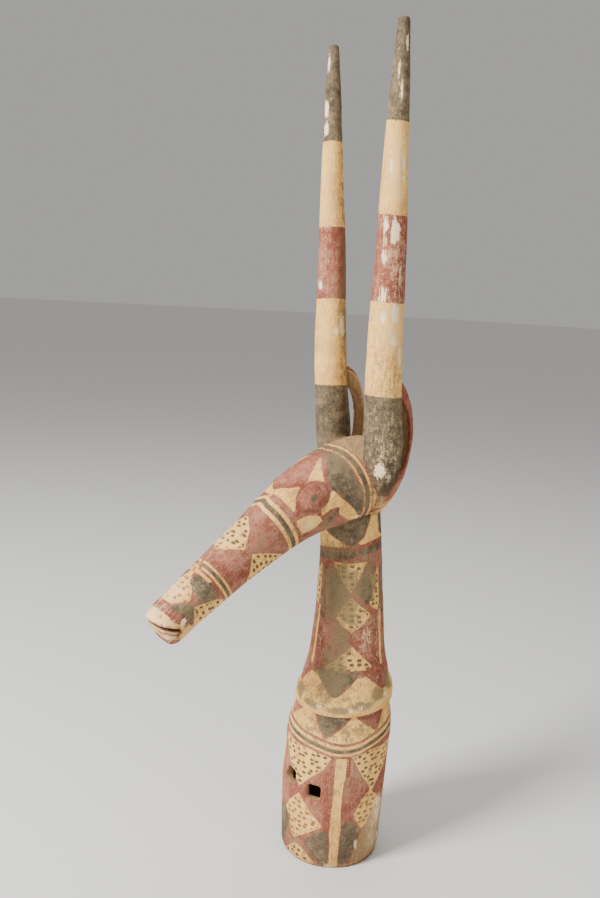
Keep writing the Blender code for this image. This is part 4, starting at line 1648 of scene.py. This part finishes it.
class Graph:
    """A material's nodes, made one call each."""

    NOISE_GAIN = 5.0
    # sockets of a colour Mix node that its other data types use
    OTHER_TYPES = (None,) * 5

    def __init__(self, name: str) -> None:
        """Makes the material.

        Args:
            name: the material's name.
        """
        self.material = bpy.data.materials.new(name)
        self.material.use_nodes = True
        self.tree = self.material.node_tree
        self.shader = self.tree.nodes["Principled BSDF"]

    def bind(self, socket: bpy.types.NodeSocket, value: object) -> None:
        """Links or sets one socket.

        Args:
            socket: the input.
            value: a Value or a socket, which is linked, or a number or a tuple, which is set.
        """
        source = value.socket if isinstance(value, Value) else value
        if isinstance(source, bpy.types.NodeSocket):
            self.tree.links.new(source, socket)
        else:
            socket.default_value = source

    def add(self, kind: str, settings: dict | None = None, *inputs: object, **named: object) -> bpy.types.Node:
        """Adds a node.

        Args:
            kind: the node's type.
            settings: its properties, set first.
            inputs: socket values or links in order, None leaving one as it is.
            named: socket values or links by name.

        Returns:
            The node.
        """
        node = self.tree.nodes.new(kind)
        for key, value in (settings or {}).items():
            setattr(node, key, value)
        for place, value in list(enumerate(inputs)) + list(named.items()):
            if value is not None:
                self.bind(node.inputs[place], value)
        return node

    def attribute(self, name: str) -> tuple:
        """The vector attribute itself and its three numbers."""
        read = self.add("ShaderNodeAttribute", {"attribute_name": name})
        parts = self.add("ShaderNodeSeparateXYZ", None, read.outputs["Vector"])
        return read.outputs["Vector"], *(Value(self, part) for part in parts.outputs)

    def noise(self, vector: bpy.types.NodeSocket, scale: float, detail: float, roughness: float) -> Value:
        """Noise about 0, mostly between -1 and 1."""
        node = self.add("ShaderNodeTexNoise", {"noise_dimensions": "3D"}, Vector=vector, Scale=scale,
                        Detail=detail, Roughness=roughness)
        return (Value(self, node.outputs["Fac"]) - 0.5) * self.NOISE_GAIN

    def stretch(self, vector: bpy.types.NodeSocket, factors: tuple) -> bpy.types.NodeSocket:
        """The vector times one factor on each axis."""
        return self.add("ShaderNodeVectorMath", {"operation": "MULTIPLY"}, vector, factors).outputs[0]

    def blend(self, factor: Value, under: object, over: object) -> bpy.types.NodeSocket:
        """Colour over another by a factor."""
        settings = {"data_type": "RGBA", "blend_type": "MIX"}
        return self.add("ShaderNodeMix", settings, factor, *self.OTHER_TYPES, under, over).outputs[2]


def colour(red: int, green: int, blue: int) -> tuple:
    """Linear colour from screen values of 0 to 255."""
    share = np.array((red, green, blue)) / 255.0
    linear = np.where(share <= 0.04045, share / 12.92, ((share + 0.055) / 1.055) ** 2.4)
    return (*(float(part) for part in linear), 1.0)


@dataclass(frozen=True)
class PaintTones:
    """Dry earth paints on old wood, each as a full and a worn tone."""

    red: tuple = colour(134, 72, 54)
    red_worn: tuple = colour(190, 134, 106)
    cream: tuple = colour(255, 203, 114)
    cream_worn: tuple = colour(188, 129, 68)
    black: tuple = colour(74, 65, 50)
    black_worn: tuple = colour(148, 126, 96)
    wood: tuple = colour(192, 156, 108)
    wood_dark: tuple = colour(120, 88, 54)
    plaster: tuple = colour(255, 228, 182)
    # faded paint, and a painted highlight on the horns' lit sides
    pale: tuple = colour(255, 216, 166)
    # grime, and painted shade under the collar's rim, under the head and on the horns' shaded sides
    grime_and_shade: tuple = colour(126, 109, 77)
    # marks of dirt, and painted shade in the creases and round the eyes
    dirt_and_shade: tuple = colour(66, 48, 32)
    # painted shade in the mouth's slit
    mouth: tuple = colour(80, 42, 32)
    roughness: float = 0.88


@dataclass(frozen=True)
class Recipe:
    """How much of each field goes into a mask, where it starts and is full, and its highest value."""

    parts: dict
    low: float
    high: float
    most: float = 1.0


class PaintedWood:
    """Material of the whole crest: coats of paint, dots, bare ground, dirt, painted light and shade, and a
    fine bump.
    """

    # stretch along the grain, or none; then scale, detail and roughness
    NOISES = {
        "streak": ((0.9, 0.9, 0.03), 1.0, 4.0, 0.6),
        "scratch": ((1.7, 1.7, 0.10), 1.0, 3.0, 0.7),
        "cloud": (None, 26.0, 4.0, 0.6),
        "speck": (None, 430.0, 3.0, 0.65),
        "patchy": (None, 110.0, 4.0, 0.65),
        "ragged": (None, 170.0, 3.0, 0.6),
    }
    STORED = {
        "coat_a": ("cream", "black", "wood"),
        "coat_b": ("plaster", "black_dots", "red_dots"),
        "pattern": ("u", "v", "darkening"),
        "age": ("pale", "grime_and_shade", "slit"),
    }
    WOBBLE = {"ragged": 0.55, "speck": 0.35}
    RED_WEAR = Recipe({"cloud": 0.45, "streak": 0.3, "patchy": 0.4, "speck": 0.4}, -0.6, 1.0)
    CREAM_WEAR = Recipe({"cloud": -0.35, "streak": 0.65, "patchy": 0.35, "speck": 0.4}, -0.5, 1.1)
    BLACK_WEAR = Recipe({"cloud": 0.3, "patchy": 0.35, "speck": 0.3}, -0.7, 0.9)
    WOOD_WEAR = Recipe({"streak": 0.5, "patchy": 0.3, "speck": 0.3}, -0.7, 0.9)
    THIN = Recipe({"patchy": 0.5, "speck": 0.5, "scratch": 0.35}, 0.45, 1.2, 0.6)
    CREAM_EDGE = Recipe({"cream": 1.0, "wobble": 1.0}, -0.5, 0.5)
    BLACK_EDGE = Recipe({"black": 1.0, "wobble": 1.5}, -0.8, 0.8)
    WOOD_EDGE = Recipe({"wood": 1.0, "wobble": 1.0}, -0.5, 0.5)
    # fading, and a painted highlight on the horns
    FADED_AND_LIT = Recipe({"pale": 1.1, "patchy": 0.3, "speck": 0.3, "streak": 0.4}, 0.25, 1.15, 0.85)
    # grime, and painted shade
    SOILED_AND_SHADED = Recipe({"grime_and_shade": 1.1, "patchy": 0.45, "cloud": 0.25, "speck": 0.3, "streak": 0.25}, 0.25, 1.2,
                    0.82)
    CHIPPED = Recipe({"plaster": 1.0, "wobble": 1.2, "streak": 2.4, "patchy": 1.5}, 0.6, 1.3)
    FLECKED = Recipe({"speck": 0.5, "patchy": 0.45, "streak": 0.4, "pale": 0.5}, 1.1, 1.35, 0.85)
    MARKED = Recipe({"speck": -0.6, "scratch": -0.45, "grime_and_shade": 0.35}, 0.6, 1.1, 0.5)
    DUSTY = Recipe({"cloud": -0.35, "patchy": 0.3}, 0.25, 1.2, 0.4)
    # painted shade in the creases and round the eyes, darker towards the foot, with dust
    CREASE_SHADE_AND_DUST = Recipe({"darkening": 0.7, "dusty": 1.0, "speck": 0.06}, 0.05, 1.0)
    # painted shade in the mouth's slit
    MOUTH_SHADE = Recipe({"slit": 1.0}, 0.2, 0.8)
    RELIEF = {"streak": 0.10, "scratch": 0.06, "patchy": 0.08, "speck": 0.09, "chips": -0.5}
    BUMP_STRENGTH, BUMP_DISTANCE = 0.7, 0.0010
    SPECULAR = 0.25
    # the dots: mm from one to the next, how much closer they stand up the form, and how unevenly
    DOT_PITCH, DOT_CLOSER, DOT_RANDOM, DOT_RAGGED = 10.2, 1.45, 0.55, 0.045
    DOT_EDGE, DOT_BORDER = (0.33, 0.25), (-0.2, 0.2)
    BLACK_COVER, RED_COVER = 0.9, 0.85

    def __init__(self, tones: PaintTones) -> None:
        """Keeps the tones and starts the graph."""
        self.tones = tones
        self.graph = Graph("painted_wood")
        self.fields: dict[str, Value] = {}

    def total(self, parts: dict[str, float]) -> Value:
        """Sum of the named fields, each times its number."""
        first, *others = [self.fields[name] * share for name, share in parts.items()]
        return sum(others, first)

    def mask(self, recipe: Recipe) -> Value:
        """The recipe's sum as an eased step."""
        return self.total(recipe.parts).ramp(recipe.low, recipe.high) * recipe.most

    def read_fields(self) -> None:
        """Names the noises and the numbers stored on the skin."""
        g = self.graph
        place = g.add("ShaderNodeTexCoord").outputs["Object"]
        along_grain = g.attribute("grain")[0]
        for name, (factors, *settings) in self.NOISES.items():
            vector = g.stretch(along_grain, factors) if factors else place
            self.fields[name] = g.noise(vector, *settings)
        for layer, names in self.STORED.items():
            self.fields.update(zip(names, g.attribute(layer)[1:]))
        self.fields["wobble"] = self.total(self.WOBBLE)
        self.fields["dusty"] = self.mask(self.DUSTY)
        self.fields["chips"] = self.mask(self.CHIPPED).highest(self.mask(self.FLECKED))

    def paint(self) -> bpy.types.NodeSocket:
        """Red over all, then cream, black and bare wood, each with its worn tone, and the dots.

        Returns:
            The colour.
        """
        g, t = self.graph, self.tones
        cream = g.blend(self.mask(self.CREAM_WEAR), t.cream, t.cream_worn)
        black = g.blend(self.mask(self.BLACK_WEAR), t.black, t.black_worn)
        wood = g.blend(self.mask(self.WOOD_WEAR), t.wood, t.wood_dark)
        tone = g.blend(self.mask(self.RED_WEAR), t.red, t.red_worn)
        tone = g.blend(self.mask(self.CREAM_EDGE), tone, cream)
        tone = g.blend(self.mask(self.BLACK_EDGE) * (1.0 - self.mask(self.THIN)), tone, black)
        tone = g.blend(self.mask(self.WOOD_EDGE), tone, wood)
        tone = g.blend(self.dot_mask("black_dots") * self.BLACK_COVER, tone, t.black)
        return g.blend(self.dot_mask("red_dots") * self.RED_COVER, tone, t.red)

    def build(self) -> bpy.types.Material:
        """Lays paint, fading and painted light, grime and painted shade, bare ground, marks, crease and mouth
        shade.

        Returns:
            The material.
        """
        g, t = self.graph, self.tones
        self.read_fields()
        # faded paint with a painted highlight on the horns
        tone = g.blend(self.mask(self.FADED_AND_LIT), self.paint(), t.pale)
        # grime with painted shade
        tone = g.blend(self.mask(self.SOILED_AND_SHADED), tone, t.grime_and_shade)
        tone = g.blend(self.fields["chips"], tone, t.plaster)
        tone = g.blend(self.mask(self.MARKED), tone, t.dirt_and_shade)
        # painted shade where forms meet and round the eyes, darker towards the foot, with dust
        tone = g.blend(self.mask(self.CREASE_SHADE_AND_DUST), tone, t.dirt_and_shade)
        # painted shade in the mouth's slit and grooves
        tone = g.blend(self.mask(self.MOUTH_SHADE), tone, t.mouth)
        bump = g.add("ShaderNodeBump", None, Strength=self.BUMP_STRENGTH, Distance=self.BUMP_DISTANCE,
                     Height=self.total(self.RELIEF))
        looks = {"Base Color": tone, "Roughness": t.roughness, "Specular IOR Level": self.SPECULAR,
                 "Normal": bump.outputs[0]}
        for socket, value in looks.items():
            g.bind(g.shader.inputs[socket], value)
        return g.material

    def dot_mask(self, layer: str) -> Value:
        """Dabs on a slightly uneven lattice, kept to where the layer calls for them.

        Args:
            layer: the field of the dots.

        Returns:
            The mask.
        """
        g, pitch = self.graph, self.DOT_PITCH
        across, along = self.fields["u"] * (1.0 / pitch), self.fields["v"] * (self.DOT_CLOSER / pitch)
        cell = g.add("ShaderNodeCombineXYZ", None, across, along, 0.0)
        dabs = g.add("ShaderNodeTexVoronoi", {"voronoi_dimensions": "2D", "feature": "F1"},
                     Vector=cell.outputs[0], Scale=1.0, Randomness=self.DOT_RANDOM)
        near = Value(g, dabs.outputs["Distance"]) + self.fields["speck"] * self.DOT_RAGGED
        return near.ramp(*self.DOT_EDGE) * self.fields[layer].ramp(*self.DOT_BORDER)


class Sculptor:
    """Small carved and worn relief, moved along the skin's normals."""

    WAVES = ((0.034, 0.00045), (0.013, 0.00022), (0.006, 0.00010))
    NOSTRIL = (13.0, 32.0, 3.2, 0.0022)
    EYE_GROOVE = (1.06, 0.15, 0.0014)
    FOOT_WEAR = ((112.0, 40.0, 0.016, 0.0035), (-20.0, 22.0, 0.008, 0.0018), (215.0, 30.0, 0.012, 0.0028))

    LIPS = (
        # mm over the slit, half width in mm, lift in metres
        (0.0, 2.2, -0.0048),
        (3.8, 2.0, 0.0012),
        (-3.0, 1.8, 0.0010),
        (-6.4, 1.8, -0.0014),
    )
    COLLAR = ((210.0, 2.6, -0.0020), (215.5, 3.0, 0.0014), (240.0, 4.0, -0.0006))
    CHIP_DEPTH, CHIP_EDGE = 0.0005, 1.2

    def __init__(self, crest: Crest) -> None:
        """Keeps the crest that is carved."""
        self.crest = crest

    def carve(self, points: np.ndarray, normals: np.ndarray, found: dict, chips: np.ndarray) -> np.ndarray:
        """Moves points along their normals: tool waves, nostrils, lips, eye grooves, the collar and wear.

        Args:
            points: (n, 3) places in metres.
            normals: (n, 3) unit normals.
            found: what Crest.places gives for the points.
            chips: how far in mm each point is inside a chip in the paint.

        Returns:
            (n, 3) moved points.
        """
        lift = np.zeros(len(points))
        for number, (size, height) in enumerate(self.WAVES):
            lift += height * grain_noise(points, size, number)
        turn, along = np.abs(found["head"][1]), found["head"][0]
        middle, aside, radius, depth = self.NOSTRIL
        near = np.hypot(along - middle, (turn - aside) * HeadPaint.SNOUT_REACH) / radius
        lift -= depth * np.exp(-(near**2)) * (found["owner"] == Form.HEAD.value)
        ring, width, groove = self.EYE_GROOVE
        for side in Side:
            local = found[f"eye_{side.name}"]
            edge = (np.hypot(local[:, 0], local[:, 1]) - ring) / width
            lift -= groove * np.exp(-(edge**2)) * (np.abs(local[:, 2]) < 3)
        above, share = self.crest.head.lip_line(points)
        for middle, half, depth in self.LIPS:
            near = np.exp(-(((above - middle) / half) ** 2))
            lift += depth * share * near * (found["owner"] == Form.HEAD.value)
        bearing, level = found["trunk"]
        outside = found["owner"] == Form.TRUNK.value
        for middle, half, depth in self.COLLAR:
            lift += depth * np.exp(-(((level - middle) / half) ** 2)) * outside
        lift -= self.CHIP_DEPTH * np.clip(chips / self.CHIP_EDGE, 0.0, 1.0)
        for place, spread, height, depth in self.FOOT_WEAR:
            aside = ((bearing - place + 180) % 360 - 180) / spread
            low = np.clip(1.0 - points[:, 2] / height, 0.0, 1.0)
            lift -= depth * np.exp(-(aside**2)) * low**1.5 * outside
        lift *= points[:, 2] > 0.0005
        return points + normals * lift[:, None]


class Studio:
    """Pale floor, soft light and the photograph's camera."""

    FOOT_CENTRE = Vector((-0.0005, 0.1057, 0.0))
    CAMERA_DISTANCE = 1.15
    CAMERA_BEARING = 50.5
    CAMERA_HEIGHT = 0.732
    CAMERA_YAW = 3.5
    CAMERA_PITCH = 9.2
    CAMERA_ROLL = 3.2
    FOCAL_PIXELS = 900.0
    PHOTO_HEIGHT = 898.0
    SENSOR = 36.0
    FLOOR_REACH = 60.0
    FLOOR_TONE, FLOOR_ROUGHNESS = (0.84, 0.83, 0.81, 1.0), 0.9
    WORLD_TONE, WORLD_STRENGTH = (0.90, 0.885, 0.86, 1.0), 0.46
    AIM = Vector((0.0, 0.0, 0.5))
    PANELS = (
        # name, place and side in metres, power in watts
        ("key", (-0.1, -2.3, 1.8), 0.8, 139.0),
        ("fill", (2.4, 0.2, 1.3), 1.6, 13.0),
        ("top", (-0.6, 0.4, 2.8), 1.8, 22.0),
    )

    def build(self) -> None:
        """Adds the floor, the lights, the world and the camera."""
        self.floor()
        self.lights()
        self.camera()

    def floor(self) -> None:
        """A pale plane under the foot."""
        mesh = bpy.data.meshes.new("floor")
        r = self.FLOOR_REACH
        mesh.from_pydata([(-r, -r, 0), (r, -r, 0), (r, r, 0), (-r, r, 0)], [], [(0, 1, 2, 3)])
        made = bpy.data.objects.new("floor", mesh)
        bpy.context.scene.collection.objects.link(made)
        pale = bpy.data.materials.new("pale_floor")
        pale.use_nodes = True
        shader = pale.node_tree.nodes["Principled BSDF"]
        shader.inputs["Base Color"].default_value = self.FLOOR_TONE
        shader.inputs["Roughness"].default_value = self.FLOOR_ROUGHNESS
        mesh.materials.append(pale)
        LOG.info("floor: %.0f m across", 2 * r)

    def lights(self) -> None:
        """Three soft panels and a pale world."""
        for name, place, size, power in self.PANELS:
            self.panel(name, place, size, power)
        world = bpy.data.worlds.new("studio")
        world.use_nodes = True
        background = world.node_tree.nodes["Background"]
        background.inputs["Color"].default_value = self.WORLD_TONE
        background.inputs["Strength"].default_value = self.WORLD_STRENGTH
        bpy.context.scene.world = world

    def panel(self, name: str, place: tuple, size: float, power: float) -> None:
        """A square area light that looks at the middle of the crest.

        Args:
            name: its name.
            place: where it stands, in metres.
            size: its side in metres.
            power: its power in watts.
        """
        light = bpy.data.lights.new(name, "AREA")
        light.size = size
        light.energy = power
        made = bpy.data.objects.new(name, light)
        made.location = place
        aim = self.AIM - Vector(place)
        made.rotation_euler = aim.to_track_quat("-Z", "Y").to_euler()
        bpy.context.scene.collection.objects.link(made)

    def camera(self) -> None:
        """Camera of the photograph, from its bearing, height, yaw, pitch and roll about the foot's centre."""
        turns = (self.CAMERA_BEARING, self.CAMERA_PITCH, self.CAMERA_ROLL)
        bearing, pitch, roll = (np.radians(turn) for turn in turns)
        heading = bearing + np.radians(self.CAMERA_YAW)
        level = Vector((-np.sin(heading), np.cos(heading), 0.0))
        right = Vector((np.cos(heading), np.sin(heading), 0.0))
        ahead = level * np.cos(pitch) - Vector((0, 0, np.sin(pitch)))
        up = right.cross(ahead)
        x_axis = right * np.cos(roll) + up * np.sin(roll)
        y_axis = up * np.cos(roll) - right * np.sin(roll)
        data = bpy.data.cameras.new("photo_camera")
        data.sensor_width = self.SENSOR
        data.lens = self.SENSOR * self.FOCAL_PIXELS / self.PHOTO_HEIGHT
        made = bpy.data.objects.new("photo_camera", data)
        reach = Vector((np.sin(bearing), -np.cos(bearing), 0.0)) * self.CAMERA_DISTANCE
        place = Matrix((x_axis, y_axis, -ahead)).transposed().to_4x4()
        place.translation = self.FOOT_CENTRE + reach + Vector((0, 0, self.CAMERA_HEIGHT))
        made.matrix_world = place
        bpy.context.scene.collection.objects.link(made)
        bpy.context.scene.camera = made


def centre_over_origin(points: np.ndarray) -> np.ndarray:
    """Points shifted so that their box is centred over the origin, as the frame's solid is."""
    middle = (points.min(0) + points.max(0)) / 2
    return points - np.array((middle[0], middle[1], 0.0))


def read_numbers(mesh: bpy.types.Mesh, what: str) -> np.ndarray:
    """Places or normals of the mesh's points as an (n, 3) array."""
    flat = np.empty(len(mesh.vertices) * 3)
    mesh.vertices.foreach_get(what, flat)
    return flat.reshape(-1, 3)


def main() -> None:
    """Builds the crest, dresses it, and sets the studio round it."""
    logging.basicConfig(level=logging.INFO, format="%(name)s: %(message)s")
    crest = Crest()
    skin = crest.build()
    points = read_numbers(skin.data, "co")
    found = crest.places(points)
    coat = Painter(crest).paint(skin, points, found)
    points = Sculptor(crest).carve(points, read_numbers(skin.data, "normal"), found, coat.plaster)
    skin.data.vertices.foreach_set("co", centre_over_origin(points).ravel())
    skin.data.update()
    skin.data.materials.clear()
    skin.data.materials.append(PaintedWood(PaintTones()).build())
    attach(skin, "root")
    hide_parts(CAD_NODE)
    Studio().build()


if __name__ == "__main__":
    main()
